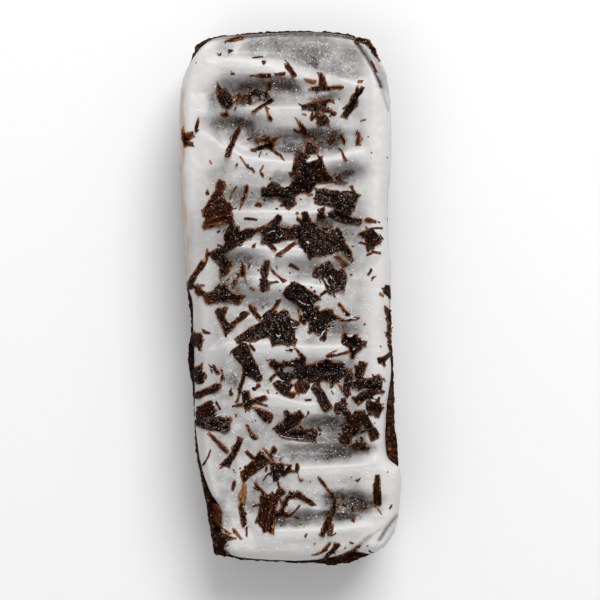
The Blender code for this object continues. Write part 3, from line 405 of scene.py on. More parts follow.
    (0.25, 0, 35, [(18.7, 4), (18.8, 4.7), (19.2, 4.9), (20, 5), (19.4, 4.4), (18.9, 3.8)]),
    (0.05, 0, -58, [(21.4, 1.8), (22.1, 2.9), (23.2, 2.8), (23.4, 1.2), (23.5, -0.4), (23.1, -0.4),
        (22.2, 0.5), (21.4, 1.2)]),
    (0.2, 0, -80, [(21.8, -1.8), (22.4, -2), (23.2, -2.8), (23.6, -4.4), (23.6, -6.4), (23, -6.8),
        (22.6, -5.4), (22.2, -4.4), (21.9, -3.2)]),
    (0.15, 0, -52, [(11, -1.4), (11.5, -1), (12, -1.6), (12.6, -2.4), (13.6, -3.4), (14.1, -3.9),
        (13.7, -4.4), (13, -4.3), (12.4, -3.4), (11.8, -2.4), (11.1, -1.9)]),
    # From the big V to the middle of the near half.
    (0.1, 0.6, -64, [(-17.2, -3.2), (-16.6, -2.4), (-15.2, -2.2), (-14, -2.1), (-14.4, -3.6), (-14.9, -4.8),
        (-14.2, -5.6), (-13.2, -6.6), (-13.4, -7.6), (-14.4, -8.6), (-15, -8.2), (-15.4, -7.4),
        (-15.8, -6.2), (-16.6, -4.8)]),
    (0.12, 0.2, 40, [(-13.6, -5.8), (-12.4, -5.3), (-11.6, -4.4), (-11.5, -3.6), (-10.8, -3.1),
        (-9.2, -3.2), (-9.1, -3.8), (-10.2, -4.8), (-11.8, -6), (-13, -7.2), (-14.3, -8.2), (-14.8, -7)]),
    (0.12, 0, 80, [(-22.4, -7.6), (-21.8, -8), (-20.2, -8.1), (-19.8, -9), (-19.9, -10.4), (-20.2, -12.4),
        (-20.9, -12.2), (-21.4, -11.4), (-22, -11.6), (-22.8, -10.6), (-22.8, -9)]),
    (0.06, 0.8, 28, [(-12.8, -9.4), (-12.2, -9.1), (-10.6, -7.9), (-9.2, -6.8), (-7.6, -6), (-6.4, -5.4),
        (-4.8, -5), (-4.4, -7), (-4.8, -8.9), (-5.4, -9.3), (-6.4, -9.5), (-7.6, -10.2), (-8.8, -10.2),
        (-10.4, -10), (-12, -10.7)]),
    (0.06, 1, -80, [(-6.6, -5.2), (-5.2, -4.2), (-4, -3.2), (-2.6, -3.4), (-1.4, -2.6), (-0.2, -3.2),
        (0.4, -4.8), (2.4, -5.6), (2.4, -6.4), (1.4, -7.4), (1.2, -9), (1.8, -10.2), (1.4, -11.2),
        (0.6, -10.9), (-0.4, -11.3), (-1, -10.9), (-2.6, -10.9), (-4, -11.2), (-4.4, -10.4), (-4.7, -9),
        (-6, -8)]),
    (0.05, 0.4, -58, [(-13.4, -12.4), (-13, -11.8), (-11.8, -11), (-10.6, -10.2), (-9.6, -10.4),
        (-9.2, -11.6), (-8.6, -13), (-7.8, -14.6), (-7.2, -15.6), (-7, -16.8), (-6.8, -17.6), (-6.2, -18),
        (-6, -18.6), (-6.6, -19.4), (-7.6, -19.4), (-8.6, -18.8), (-9.8, -18.2), (-10.6, -17.8),
        (-10.9, -16.6), (-11, -15.6), (-11.8, -14.8), (-12.6, -13.9), (-13, -13)]),
    (0.15, 0.1, 78, [(-11, -17.4), (-10.2, -17.8), (-10.2, -19), (-10.8, -20.6), (-11.2, -22.2),
        (-11.6, -23.4), (-11.7, -24.1), (-12.3, -24), (-12.1, -22.8), (-11.7, -21.2), (-11.7, -20),
        (-11.2, -18.8)]),
    (0.07, 0, 85, [(-22.2, -16.1), (-20.9, -15.6), (-20, -14.8), (-19.8, -15.3), (-20.1, -16.6),
        (-19.8, -17.2), (-19.4, -18.4), (-19.4, -19.4), (-20.2, -19.8), (-21.4, -20), (-22.1, -19),
        (-22.4, -17.4)]),
    (0.2, 0, 80, [(-19.9, -17), (-19.3, -17), (-18.8, -17.9), (-19, -18.8), (-19.7, -18.2)]),
    (0.08, 0.4, 20, [(-21.9, -21.9), (-20.6, -21.3), (-18.6, -20.3), (-16.6, -19.5), (-15.6, -19.6),
        (-15.4, -20.4), (-16.2, -21.2), (-17, -21.8), (-18.4, -22.3), (-19.6, -22.7), (-20.8, -23.4),
        (-21.9, -23.3)]),
    (0.2, 0, -60, [(-17.6, -15.2), (-17, -15.5), (-16.4, -16.8), (-15.9, -17.6), (-16.6, -17.9),
        (-17.2, -17), (-17.8, -16)]),
    (0.36, 0, -80, [(-16, -16.4), (-15.3, -16.6), (-15.1, -17.8), (-14.7, -18.6), (-14.8, -19.1),
        (-15.4, -19), (-15.9, -19.6), (-15.8, -18.2), (-15.5, -17.4)]),
    (0.16, 0.2, 18, [(-21.4, -25), (-20.6, -24.8), (-19.4, -24), (-18.2, -23.5), (-17.6, -23.7),
        (-17.3, -24.8), (-16.8, -25.8), (-16.5, -26.6), (-17.4, -27.2), (-18.6, -27.4), (-20.4, -28),
        (-21.5, -28.2), (-21.7, -26.6)]),
    (0.02, 1, -6, [(-21.8, -28), (-20, -27.6), (-17.8, -27.2), (-16.8, -27), (-15, -27.6), (-13.6, -27.4),
        (-13, -28), (-13.6, -29), (-13.6, -30.4), (-14.4, -31.2), (-15.4, -31.2), (-16.2, -30.6),
        (-17.4, -30.6), (-19.4, -30.1), (-20.6, -29.9), (-21.7, -29.6)]),
    (0.06, 0.2, 90, [(-10.8, -21.4), (-9.2, -21.4), (-8.9, -22.4), (-8.9, -23.4), (-8.6, -24),
        (-8.8, -25.2), (-9.2, -26.2), (-10.2, -25.9), (-10.8, -25), (-10.6, -23.6), (-10.8, -22.6)]),
    (0.08, 0.6, 16, [(-12.8, -24.9), (-12.2, -24.4), (-10.6, -24.2), (-8.6, -23.2), (-7, -22.7),
        (-5.8, -22.2), (-5.2, -22.6), (-5, -23.4), (-6, -23.8), (-7.4, -24.2), (-9, -24.8), (-10.4, -25),
        (-12.2, -25.3)]),
    (0.08, 0.5, -35, [(-8.9, -25.2), (-7.6, -25.1), (-5.6, -25.8), (-4, -26.4), (-3.6, -27.4),
        (-4.1, -28.6), (-4.9, -29.1), (-6, -28.4), (-7, -27.4), (-7.8, -26.2)]),
    (0.15, 0, 52, [(-4.9, -18.8), (-4.2, -19.5), (-3.6, -18.8), (-2.8, -17.6), (-3.1, -17.1), (-3.8, -17.6),
        (-4.4, -18.2)]),
    (0.03, 0.8, 0, [(-4.9, -15.2), (-4.4, -14.4), (-3.4, -14.1), (-2.4, -14.9), (-0.6, -15.1), (0.4, -14.3),
        (2, -14.2), (3.6, -13.4), (3.9, -14.2), (3.6, -15.2), (4.6, -15.4), (5.4, -15.2), (5, -16.2),
        (3.4, -16.6), (1.4, -16.8), (0.8, -16.2), (-0.6, -15.9), (-2.4, -15.9), (-2.8, -16.8),
        (-1.8, -17.3), (0.6, -17.2), (1, -18), (0.4, -19.6), (-0.6, -19.4), (-2, -18.8), (-3.2, -17.6),
        (-3.6, -16.6), (-4.6, -15.9)]),
    (0.1, 0.8, -42, [(-4, -19.8), (-3, -19), (-1.8, -19.2), (-0.2, -19.6), (1.2, -20), (0.4, -21),
        (-0.2, -22), (-0.1, -23), (-0.8, -22.9), (-1.8, -22.2), (-3, -21.2)]),
    # Right of them.
    (0.02, 0.5, -20, [(3, -4.4), (4, -3.2), (5.4, -2.8), (6, -1.9), (6.9, -1.8), (6.8, -3.2), (8.6, -2.4),
        (10.1, -2.7), (10.4, -4.2), (11.2, -4.2), (12.2, -4.8), (10.6, -5.3), (9, -5.8), (8.4, -6.6),
        (8.7, -8.2), (8.6, -9.6), (8, -10.2), (7, -9.9), (6.6, -8.6), (5.6, -8.2), (4.5, -8.1), (4.4, -6.8),
        (4.6, -5.4)]),
    (0.1, 0.2, 6, [(11.2, -5.7), (12.6, -5.7), (14.4, -5.4), (15.6, -5.3), (16.3, -4.6), (15.6, -4.4),
        (14.6, -4.5), (13, -4.8), (11.6, -4.9)]),
    (0.3, 0.1, -75, [(1.7, -2.3), (2.1, -2.6), (2.8, -3.8), (3.2, -5), (2.9, -5.8), (2.3, -5.4), (2, -4)]),
    (0.02, 0, -30, [(12.4, -7.9), (12.8, -7.6), (13.2, -8.2), (15.2, -8.4), (15.9, -8.2), (15.9, -9),
        (16.6, -9.4), (16.2, -9.7), (17.8, -10), (17.4, -10.9), (16, -11.2), (16.8, -11.6), (15.8, -12.4),
        (15.2, -13), (14.9, -14.2), (14, -14.2), (13.7, -13.2), (13.9, -12.3), (13.4, -11.4), (12.2, -10.8),
        (11.8, -10.3), (12, -9)]),
    (0.5, 0, 15, [(15.8, -10.6), (17.9, -10), (17.4, -10.9), (16.4, -11.2), (16.9, -11.6), (15.9, -12.5),
        (15.2, -12.3)]),
    (0.55, 0, 12, [(8.3, -13.3), (9.2, -12.6), (10.2, -12.2), (11.1, -11.9), (10.4, -12.5), (9.6, -13),
        (10.8, -12.9), (12.4, -12.5), (13.9, -12.2), (13.8, -12.7), (12.2, -13.2), (10.4, -13.6),
        (9.2, -13.9), (8.5, -13.9)]),
    (0.15, 0.1, -52, [(0.9, -11.4), (1.6, -11.5), (2.4, -12.3), (3.2, -13), (3.9, -13.8), (3.7, -14.6),
        (2.8, -14.3), (2.2, -13.4), (1.6, -12.4)]),
    (0.45, 0, -20, [(-0.1, -11.6), (0.9, -11.9), (0.6, -12.5), (0, -12.2)]),
    (0.03, 0.9, -4, [(4.6, -15.7), (5.4, -15.4), (6, -14.8), (7.4, -14.5), (8.4, -14.1), (9.2, -14.4),
        (10.6, -14.8), (11.8, -14.6), (12.3, -15.2), (12.4, -16.2), (13.4, -16.3), (14.2, -16.6),
        (14, -17.6), (13.2, -18.2), (12, -18.6), (11.4, -19.4), (10.6, -19.7), (9.9, -20.9), (9.3, -20.7),
        (9.4, -19.7), (8.4, -19.4), (7.2, -19.2), (6.8, -19.6), (5, -19.6), (3.4, -18.9), (1, -18.8),
        (0.2, -18), (0.8, -16.8), (2.6, -16.5), (3.6, -16)]),
    (0.02, 0, -2, [(5.4, -15.3), (7.4, -14.6), (9.2, -14.5), (11.6, -14.9), (11.9, -15.9), (9.6, -16.3),
        (6.6, -16.4), (5, -16)]),
    (0.12, 0.6, -70, [(1.4, -19.4), (2.6, -18.6), (3.6, -19.2), (4.6, -19.6), (4.8, -20.6), (4.2, -21.6),
        (3, -22.2), (2.4, -21.6), (2.2, -20.4)]),
    (0.45, 0, -70, [(1.1, -19.6), (1.8, -19.6), (2.4, -21.4), (2.3, -22.6), (1.8, -22.3), (1.1, -21.2)]),
    (0.65, 0, -45, [(3, -18.3), (4.4, -19.4), (4.8, -20.2), (4.2, -20.3), (3.3, -19.3)]),
    (0.05, 0.7, -60, [(4.8, -20.8), (5.8, -19.6), (6.8, -19.8), (7.4, -20.8), (8.2, -21.8), (8.5, -23),
        (9.2, -23.8), (9.8, -24.6), (10, -25.4), (9.2, -26), (8.4, -26.5), (7.6, -26), (7, -24.8),
        (6.4, -23.4), (5.4, -21.9)]),
    (0.1, 1, 84, [(12.6, -16.6), (14, -16.6), (14.8, -17.8), (14.6, -19), (14.3, -19.8), (14, -21),
        (14.2, -22.4), (13.2, -22.8), (12.4, -22.4), (12.3, -21.2), (12.7, -19.6), (12.6, -18)]),
    (0.7, 0.1, -60, [(11, -20), (12, -20.1), (12.4, -21.4), (12.1, -21.9), (11.6, -21)]),
    (0.1, 0.4, 76, [(14.8, -15.5), (15.8, -15.4), (16, -14.5), (17.2, -14.6), (18.1, -15.1), (17.6, -16.2),
        (17.2, -17.6), (16.8, -18.6), (15.8, -18.7), (15, -18.8), (15.1, -17.2)]),
    (0.04, 1, 12, [(13.8, -20.2), (14.8, -19.3), (16, -18.7), (17.6, -18.4), (19, -18.3), (19.4, -17.9),
        (20.4, -17.4), (21.2, -18), (21.4, -19.2), (21.3, -20.4), (19.8, -20.8), (18, -20.9), (16.4, -20.8),
        (14.6, -21)]),
    (0.05, 1, 24, [(21.3, -19.8), (21.2, -21), (22, -21.4), (21.8, -22), (20.4, -22.1), (18.8, -22.7),
        (17.2, -23.7), (15.8, -24.9), (15, -24.2), (14.4, -22.9), (15.4, -22.6), (16.2, -21.8),
        (17.4, -21.3), (19, -20.9), (20.2, -20.5)]),
    (0.02, 0, 5, [(14.2, -20.6), (16, -20.1), (18.4, -20.2), (20.6, -19.6), (21.3, -20), (21, -20.7),
        (18.4, -20.9), (16, -20.8)]),
    (0.1, 0.7, -22, [(17.5, -24), (18.2, -23.3), (19.2, -23.9), (20.4, -23.4), (20.9, -24.2), (21.4, -24.8),
        (21.9, -25.4), (21.4, -25.9), (21, -26.4), (20.6, -27.7), (19.6, -27.6), (19.2, -26.6),
        (18.2, -26.2), (17.5, -25.8)]),
    (0.65, 0, -20, [(17.7, -26), (19.2, -26.2), (19.5, -27), (18.4, -27.1)]),
    (0.1, 0.7, 70, [(10.1, -25.2), (10.8, -24.2), (11.8, -23.9), (11.9, -23.2), (13, -23), (13.2, -25.2),
        (14, -26.3), (13.6, -27.4), (12.6, -27.2), (11.8, -26), (11.3, -26.9), (10.7, -27.2),
        (10.2, -26.2)]),
    (0.14, 0.3, -62, [(12, -26.2), (13.4, -26.4), (14.4, -27), (15, -26), (17.2, -25.7), (17.8, -27.2),
        (17, -28.4), (16.6, -29.6), (15.8, -31.2), (14.6, -31.8), (14.4, -33.2), (13.6, -33.9), (12.4, -34),
        (11.4, -33.4), (11.2, -32.4), (12.2, -31.4), (12.8, -30.2), (13, -28.6)]),
    (0.36, 0, 64, [(13.2, -31.6), (13.8, -31.7), (15.6, -28.8), (15.4, -28.2), (14.6, -28.6)]),
    (0.05, 0.5, -57, [(17, -26.6), (17.9, -27), (18.6, -28.4), (19.4, -29.4), (20.1, -30.4), (20.8, -31.4),
        (20.6, -32.2), (19.6, -32.8), (18.6, -33.1), (18.1, -32), (18.1, -31), (17.2, -30.2),
        (16.6, -28.8)]),
    (0.14, 0.8, -16, [(14.4, -33.6), (15.4, -33.4), (16.6, -32.9), (17.4, -33.4), (18.5, -34.6),
        (17.8, -35.4), (16.6, -35.4), (15.6, -35.4), (14, -35), (13.4, -34.6)]),
    (0.16, 0, 35, [(20.1, -13.9), (20.6, -13.6), (21.4, -13.5), (22.6, -12.9), (23.6, -12.2), (23.6, -13.4),
        (22.6, -14.2), (22, -14.9), (22.3, -15.6), (21.8, -16), (21.2, -15.4), (20.4, -15)]),
    (0.22, 0.1, -85, [(22.6, -5.2), (23.4, -5.6), (23.5, -7), (23.5, -11.8), (22.8, -11.6), (22.4, -10.6),
        (22.9, -9.4), (22, -8.8), (21.8, -8), (22.6, -7.8)]),
    (0.45, 0, 85, [(4.1, -26), (4.5, -26), (4.6, -26.8), (4.1, -26.9)]),
    (0.75, 0, -40, [(9.5, -21.4), (9.8, -21.4), (10.3, -22.2), (10, -22.3)]),
    (0.06, 0.6, 42, [(-1.4, -26), (-0.5, -25.8), (0.2, -26.6), (1.4, -26.4), (2.2, -25.6), (3, -26.6),
        (3.5, -27.4), (2.6, -28.4), (2.4, -29.2), (1.4, -29.8), (-0.4, -30.6), (-2.2, -32.2), (-3, -31.2),
        (-3.9, -30.1), (-2.8, -29.2), (-1.6, -28.4), (-1.2, -27.4)]),
    (0.02, 1, -8, [(-2, -32.3), (-1.4, -31.4), (0.2, -30.6), (1.6, -30), (3.4, -30.2), (6.2, -30.6),
        (6.6, -31.4), (6.3, -32.4), (6.4, -33.6), (4.8, -33.3), (2.6, -33.1), (0.4, -32.6), (-1, -32.5)]),
    # Near end.
    (0.12, 0.3, -45, [(-18.9, -31.2), (-18.4, -30.7), (-17.4, -31.6), (-16.2, -32.8), (-15, -34),
        (-13.9, -35.2), (-14, -35.9), (-14.8, -35.8), (-16, -34.6), (-17.4, -32.9)]),
    (0.04, 0.3, 57, [(-12.1, -31.8), (-11.2, -32.2), (-10.5, -32.5), (-11, -33.8), (-11.6, -35.4),
        (-12.4, -36.6), (-13.2, -38), (-13.8, -39.3), (-14.8, -38.8), (-16.1, -38.4), (-14.9, -37.2),
        (-13.9, -36.2), (-13.3, -35.4), (-13.4, -34.4), (-12.8, -33.8), (-12.3, -33.6)]),
    (0.14, 0.3, -55, [(-10.2, -29.2), (-9.7, -29), (-9, -30), (-8.3, -31.2), (-7.4, -32), (-7.2, -32.6),
        (-8.2, -32.8), (-9, -32.1), (-9.6, -30.8)]),
    (0.08, 0.1, 40, [(-11.2, -41), (-11.4, -40), (-10.2, -39.3), (-9.6, -38.4), (-8.6, -37.6), (-7.9, -37),
        (-7.6, -36), (-6.8, -35.2), (-6, -35.8), (-5.2, -36.8), (-4.4, -37.4), (-4.6, -38.2), (-5.4, -38.6),
        (-6.6, -39.6), (-8, -40.6), (-9.4, -41.6), (-10.6, -42.8), (-11, -42)]),
    (0.32, 0, 38, [(-9.8, -40.4), (-8, -38.6), (-6.2, -37.4), (-5.4, -37.6), (-6.8, -38.8), (-9.4, -41)]),
    (0.35, 0, 78, [(-13.2, -42.4), (-12.6, -41.8), (-12.2, -42.4), (-12.4, -43.6), (-12.9, -44.6),
        (-13.4, -44.2)]),
    (0.92, 0, 84, [(-10.6, -42.6), (-10, -43), (-9.9, -44.6), (-9.9, -46.2), (-10.3, -47.7), (-10.8, -47.8),
        (-11.5, -46.8), (-11.8, -45.6), (-11.4, -44.6), (-11, -43.6)]),
    (0.1, 0.4, -78, [(-11.9, -47.9), (-11.4, -47.4), (-10.8, -47.6), (-10.4, -49), (-9.9, -50.8),
        (-9.8, -52), (-10.4, -53), (-10.9, -52.8), (-11.3, -51.6), (-11.5, -50), (-11.8, -48.8)]),
    (0.18, 0, 0, [(-4.2, -34.6), (-3.6, -33.9), (-3.2, -34.4), (-2.7, -35), (-3.1, -36), (-3.8, -36.1),
        (-4.4, -35.6)]),
    (0.45, 0, -50, [(-6.3, -34.6), (-5.8, -34.6), (-4.2, -36.3), (-3.1, -37.9), (-3.6, -38.1),
        (-4.6, -36.8)]),
    (0.06, 0.4, -76, [(-4.6, -38), (-4, -37.5), (-3, -38.2), (-2.2, -37.8), (-0.9, -38.3), (-1.2, -39.4),
        (-1.4, -40.4), (-2, -40.9), (-2.2, -41.6), (-2.8, -42.4), (-3.6, -42.2), (-3.9, -40.8),
        (-4.4, -39.6)]),
    (0.15, 0.1, 50, [(-2, -41.1), (-1.2, -41.2), (0, -40.4), (0.5, -39.4), (0.6, -38.4), (0, -38.3),
        (-0.8, -39.4), (-1.6, -40.2)]),
    (0.4, 0, 65, [(-2.7, -38), (-2.4, -38.1), (-1.8, -36.8), (-2.1, -36.8)]),
    (0.12, 0.3, 30, [(-3.4, -45.2), (-3, -44.2), (-2.2, -43.5), (-1.4, -44), (-0.7, -44.9), (-1.6, -45.6),
        (-2.4, -46.1), (-3.3, -45.8)]),
    (0.3, 0, -78, [(1.3, -38.9), (1.5, -37.9), (1.9, -37.9), (2.4, -38.8), (2.2, -39.6), (2, -40),
        (2.3, -41.4), (3.3, -41.9), (2.6, -42.4), (2, -41.6), (1.8, -40.4), (1.2, -39.7)]),
    (0.5, 0, 0, [(0, -39.6), (1.3, -39.6), (1.1, -40.1), (0, -40.2)]),
    (0.12, 0.1, -46, [(-8.2, -42.5), (-7.6, -42.5), (-6.8, -43.5), (-6, -44.3), (-5.3, -45.2), (-6, -45.5),
        (-6.8, -44.6), (-7.7, -44.4), (-7.9, -43.6)]),
    (0.16, 0, 80, [(-6.9, -45.6), (-6.2, -44.9), (-4.4, -45.5), (-2.8, -45.8), (-2.5, -46.8), (-2.9, -48.4),
        (-3.2, -50), (-3.4, -52), (-3.5, -54.4), (-4.2, -54.1), (-5, -53.6), (-5.9, -54.1), (-6.4, -52.9),
        (-7, -52.5), (-7.2, -51.7), (-7.9, -51.8), (-7.8, -50.8), (-7.3, -49.8), (-7, -48.2), (-6.9, -47)]),
    (0.34, 0, 80, [(-5.6, -53.2), (-5.2, -53.4), (-3.6, -47), (-3.9, -46.4), (-4.4, -47)]),
    (0.34, 0, 84, [(-4.4, -53.8), (-3.8, -54), (-3.4, -50.4), (-3, -48.4), (-3.6, -48.6)]),
    (0.28, 0, 76, [(-6.6, -52.2), (-6.1, -52.6), (-5.4, -50.4), (-5, -48.8), (-5.6, -49)]),
    (0.28, 0.1, 10, [(-6.4, -45.2), (-3, -46), (-2.8, -46.8), (-4.4, -46.5), (-6.2, -46)]),
    (0.08, 0.1, 62, [(-2.3, -48.6), (-1.6, -47.2), (-1, -45.8), (0, -44.7), (0.8, -44.6), (0.4, -45.8),
        (-0.2, -46.8), (-0.8, -48.2), (-1.2, -49.4), (-0.4, -49.9), (0.6, -50), (0.4, -50.9), (-0.8, -50.9),
        (-1.6, -50.5), (-2.6, -50.8), (-3.4, -51), (-3.4, -49.8), (-2.6, -49.2)]),
    (0.16, 0.3, -30, [(0, -44.6), (0.8, -44.5), (1.8, -45), (1.6, -44.3), (2.2, -44.5), (3.4, -45.4),
        (4.4, -46.2), (5.2, -46.8), (6.3, -47.9), (5.2, -47.9), (3.8, -47.3), (2.6, -46.6), (1.2, -46.2),
        (0.2, -46.4)]),
    (0.14, 0.1, -56, [(6.4, -40.9), (6.8, -41.1), (7.6, -41.8), (8.4, -42.9), (9.4, -44.5), (10.5, -46.2),
        (10.3, -46.6), (9.8, -46.4), (9, -45.1), (8, -43.7), (7, -42.5), (6.7, -41.9)]),
    (0.08, 0.3, 64, [(11.4, -47.5), (11.6, -48), (10.8, -49.6), (10, -51), (9.2, -52.8), (8.4, -53.8),
        (8, -55), (7.2, -54.8), (6.6, -54.3), (7.2, -53.8), (7.4, -52.8), (8.2, -51.2), (9, -49.4),
        (9.6, -48.3), (10.4, -47.7)]),
    (0.55, 1, 70, [(9.6, -51.8), (10.3, -52.2), (10.1, -53.2), (9.7, -54.5), (9, -54.7), (8.5, -54.2),
        (8.6, -53.6)]),
    (0.12, 0.1, 88, [(19.6, -40.6), (20.6, -40.5), (20.9, -42.4), (21, -44.8), (21.3, -47.4), (20.6, -48.1),
        (20.2, -47.6), (19.8, -48.3), (19.3, -47.9), (19.2, -46.2), (19.2, -43.8), (19, -42.8),
        (19.5, -42.2)]),
    (0.3, 0, 88, [(19.7, -41.4), (20.2, -41.2), (20.3, -44.6), (20.2, -47.4), (19.7, -47.2),
        (19.6, -44.4)]),
    (0.5, 0, 60, [(22.7, -48.4), (23.1, -47.6), (23.6, -47.4), (23.6, -47.9), (23.1, -48.6)]),
    (0.38, 0, 30, [(15, -42), (15.8, -41.6), (16.4, -41.3), (16.1, -42), (15.6, -42.5)]),
    (0.35, 0.3, 80, [(14.2, -51.4), (14.5, -50.4), (15.1, -50.9), (14.9, -51.8)]),
    (0.34, 0, -60, [(-18, -47.6), (-17, -47.8), (-16.2, -48.6), (-15.3, -49.9), (-16, -50.2),
        (-16.1, -51.2), (-16.2, -52.2), (-15.2, -53.2), (-13.9, -53.9), (-13.2, -54.4), (-14.2, -54.6),
        (-15.4, -53.9), (-16.6, -52.9), (-17.5, -52), (-17.8, -50)]),
    (0.14, 0.1, -15, [(-17.4, -54.2), (-16.2, -54.3), (-14.8, -54.4), (-13.6, -54.9), (-12.1, -55.4),
        (-13.4, -55.9), (-14.2, -56.1), (-15, -57.3), (-15.8, -57.5), (-16.8, -56.4), (-17.2, -55.4)]),
    (0.06, 0, -30, [(-16.6, -59.4), (-16.3, -58.3), (-15.8, -57.9), (-15, -58.6), (-13.9, -59.5),
        (-15, -59.8), (-16.2, -59.8)]),
    (0.75, 0, -46, [(-13.2, -53), (-12.6, -53.2), (-11.6, -54.4), (-10.7, -55.6), (-11.3, -55.7),
        (-12.2, -54.7), (-13.3, -53.5)]),
    (0.34, 0.1, 32, [(5, -59.2), (5.2, -59.6), (6.4, -59.4), (7.6, -58.9), (8.6, -58.3), (9, -57.4),
        (9.7, -56.5), (9.2, -56.1), (8.7, -56.6), (7.8, -57.5), (7.1, -58.4), (6, -58.9)]),
    (0.04, 0.2, 52, [(10.3, -56.3), (11.4, -56.5), (11.8, -56.9), (10.6, -58.4), (9.4, -59.8), (8.4, -60.8),
        (7.4, -61), (7.8, -60.1), (8.8, -58.9), (9.6, -57.7)]),
    (0.1, 0.1, 25, [(11.4, -59.5), (11.9, -59.4), (13.4, -58.6), (15, -57.9), (15.6, -58.3), (16, -58.8),
        (14.8, -59.2), (13.4, -59.6), (12.2, -60.2), (11, -60.8), (9.9, -61), (10.6, -60.4)]),
    (0.14, 0, 20, [(15.6, -58.9), (17.2, -59), (17.4, -59.4), (16.2, -59.9), (15.4, -60.3), (14, -60.7),
        (12.9, -60.9), (13.6, -60.4), (14.6, -59.8)]),
]

# Slivers of chocolate, laid after the larger pieces: (x, y, length, width, turn in degrees
# from +X, taper, tone). Taper 1 comes to a point at the far end, -1 at the near end.
SLIVERS = [
    (-7.3, 55.3, 2.3, 0.5, 10, 0, 0.55), (-2.3, 51.4, 2.4, 0.8, 5, -0.2, 0.43),
    (-12.4, 43.3, 1.1, 0.4, 65, 0, 0.5), (16.3, 49.6, 1.3, 0.7, 0, 0, 0.75),
    (16.9, 40.7, 1.3, 0.4, 15, 0, 0.85), (3.4, 42, 1.2, 0.4, -16, 0, 0.85),
    (5.7, 41.6, 2.4, 0.8, 50, 0, 0.43), (1.8, 38.3, 1.8, 0.7, -20, 0, 0.48),
    (-22.8, 37.2, 2, 1.6, 10, 0, 0.55), (-22.8, 35.2, 1.8, 1.1, -10, 0, 0.6),
    (-6.8, 32.8, 1.8, 0.4, 75, 0, 0.7), (-6.4, 29.6, 1.6, 0.5, 62, 0, 0.9),
    (-6.3, 28.2, 1.3, 0.6, -52, 0, 0.38), (-18, 31, 0.9, 0.4, -60, 0, 0.9),
    (-7.1, 21.3, 1.6, 1.2, -20, 0, 0.47), (6.4, 30.7, 2, 0.4, 56, 0, 0.55),
    (14.6, 25, 2, 0.8, -62, 0.3, 0.55), (2.2, 17.7, 1.9, 0.9, -42, 0, 0.47),
    (4.8, 23.6, 1.4, 0.6, 5, 0, 0.8), (12.3, 36.5, 2.5, 0.9, -60, 0.1, 0.28),
    (-9.3, 7.4, 1.4, 0.5, 72, 0, 0.53), (-3.5, 3.5, 2, 0.6, 10, 0, 0.65),
    (-8.8, 17.9, 2.9, 0.6, -7, 0, 0.48), (7.8, 1, 2, 0.8, 30, 0, 0.43), (1, 7.1, 2.5, 0.8, -27, 0.3, 0.48),
    (19.9, 15.8, 3.2, 0.45, 2, 0, 0.6), (16.9, 12.4, 1.9, 0.5, -20, 0, 0.53),
    (19.8, 10.5, 2.4, 0.6, -14, 0, 0.5), (18.3, 10, 1.5, 0.5, 24, 0, 0.6),
    (18.4, 5.9, 1.8, 0.6, 60, 0, 0.5), (21.2, 0.6, 1.3, 0.7, -30, 0, 0.85),
    (-19.1, -7.9, 1.9, 0.9, -20, 0.4, 0.53), (-8.6, -11.4, 2, 0.8, -50, 0, 0.28),
    (-17.9, -16.9, 1, 0.4, -60, 0, 0.5), (-16.4, -24.8, 2.3, 0.5, -60, 0, 0.5),
    (-6.4, -24.5, 3, 0.6, -16, 0, 0.5), (-13.5, -21.9, 1.5, 0.9, -75, 0, 0.38),
    (-4.9, -21.7, 1, 0.4, -75, 0, 0.85), (0.2, -22.3, 2, 1.5, -20, 0, 0.23),
    (21.9, -19, 1, 0.3, -55, 0, 0.85), (4.4, -23.6, 1.7, 0.6, 6, 0, 0.48),
    (-19.1, -36.8, 4.4, 0.45, 62, 0, 0.5), (-9, -36.3, 2.6, 1, -42, 0, 0.29),
    (-9.8, -53.9, 2.2, 0.5, 88, 0, 0.55), (-5.4, -41.3, 2.4, 0.4, 50, 0, 0.55),
    (-2.4, -43.2, 1.6, 0.5, -70, 0, 0.43), (-7.5, -47.8, 2.2, 0.45, 20, 0, 0.53),
    (-7.5, -51.2, 1.6, 0.8, 70, 0, 0.55), (1.4, -49, 3.4, 0.45, 50, 0, 0.53),
    (1.7, -50.9, 1.7, 0.4, -18, 0, 0.53), (20.6, -49, 1.8, 0.4, -52, 0.3, 0.82),
    (18.7, -58.5, 1.4, 0.4, -32, 0, 0.55), (19.3, 53.2, 3.2, 0.5, -62, 0, 0.4),
]

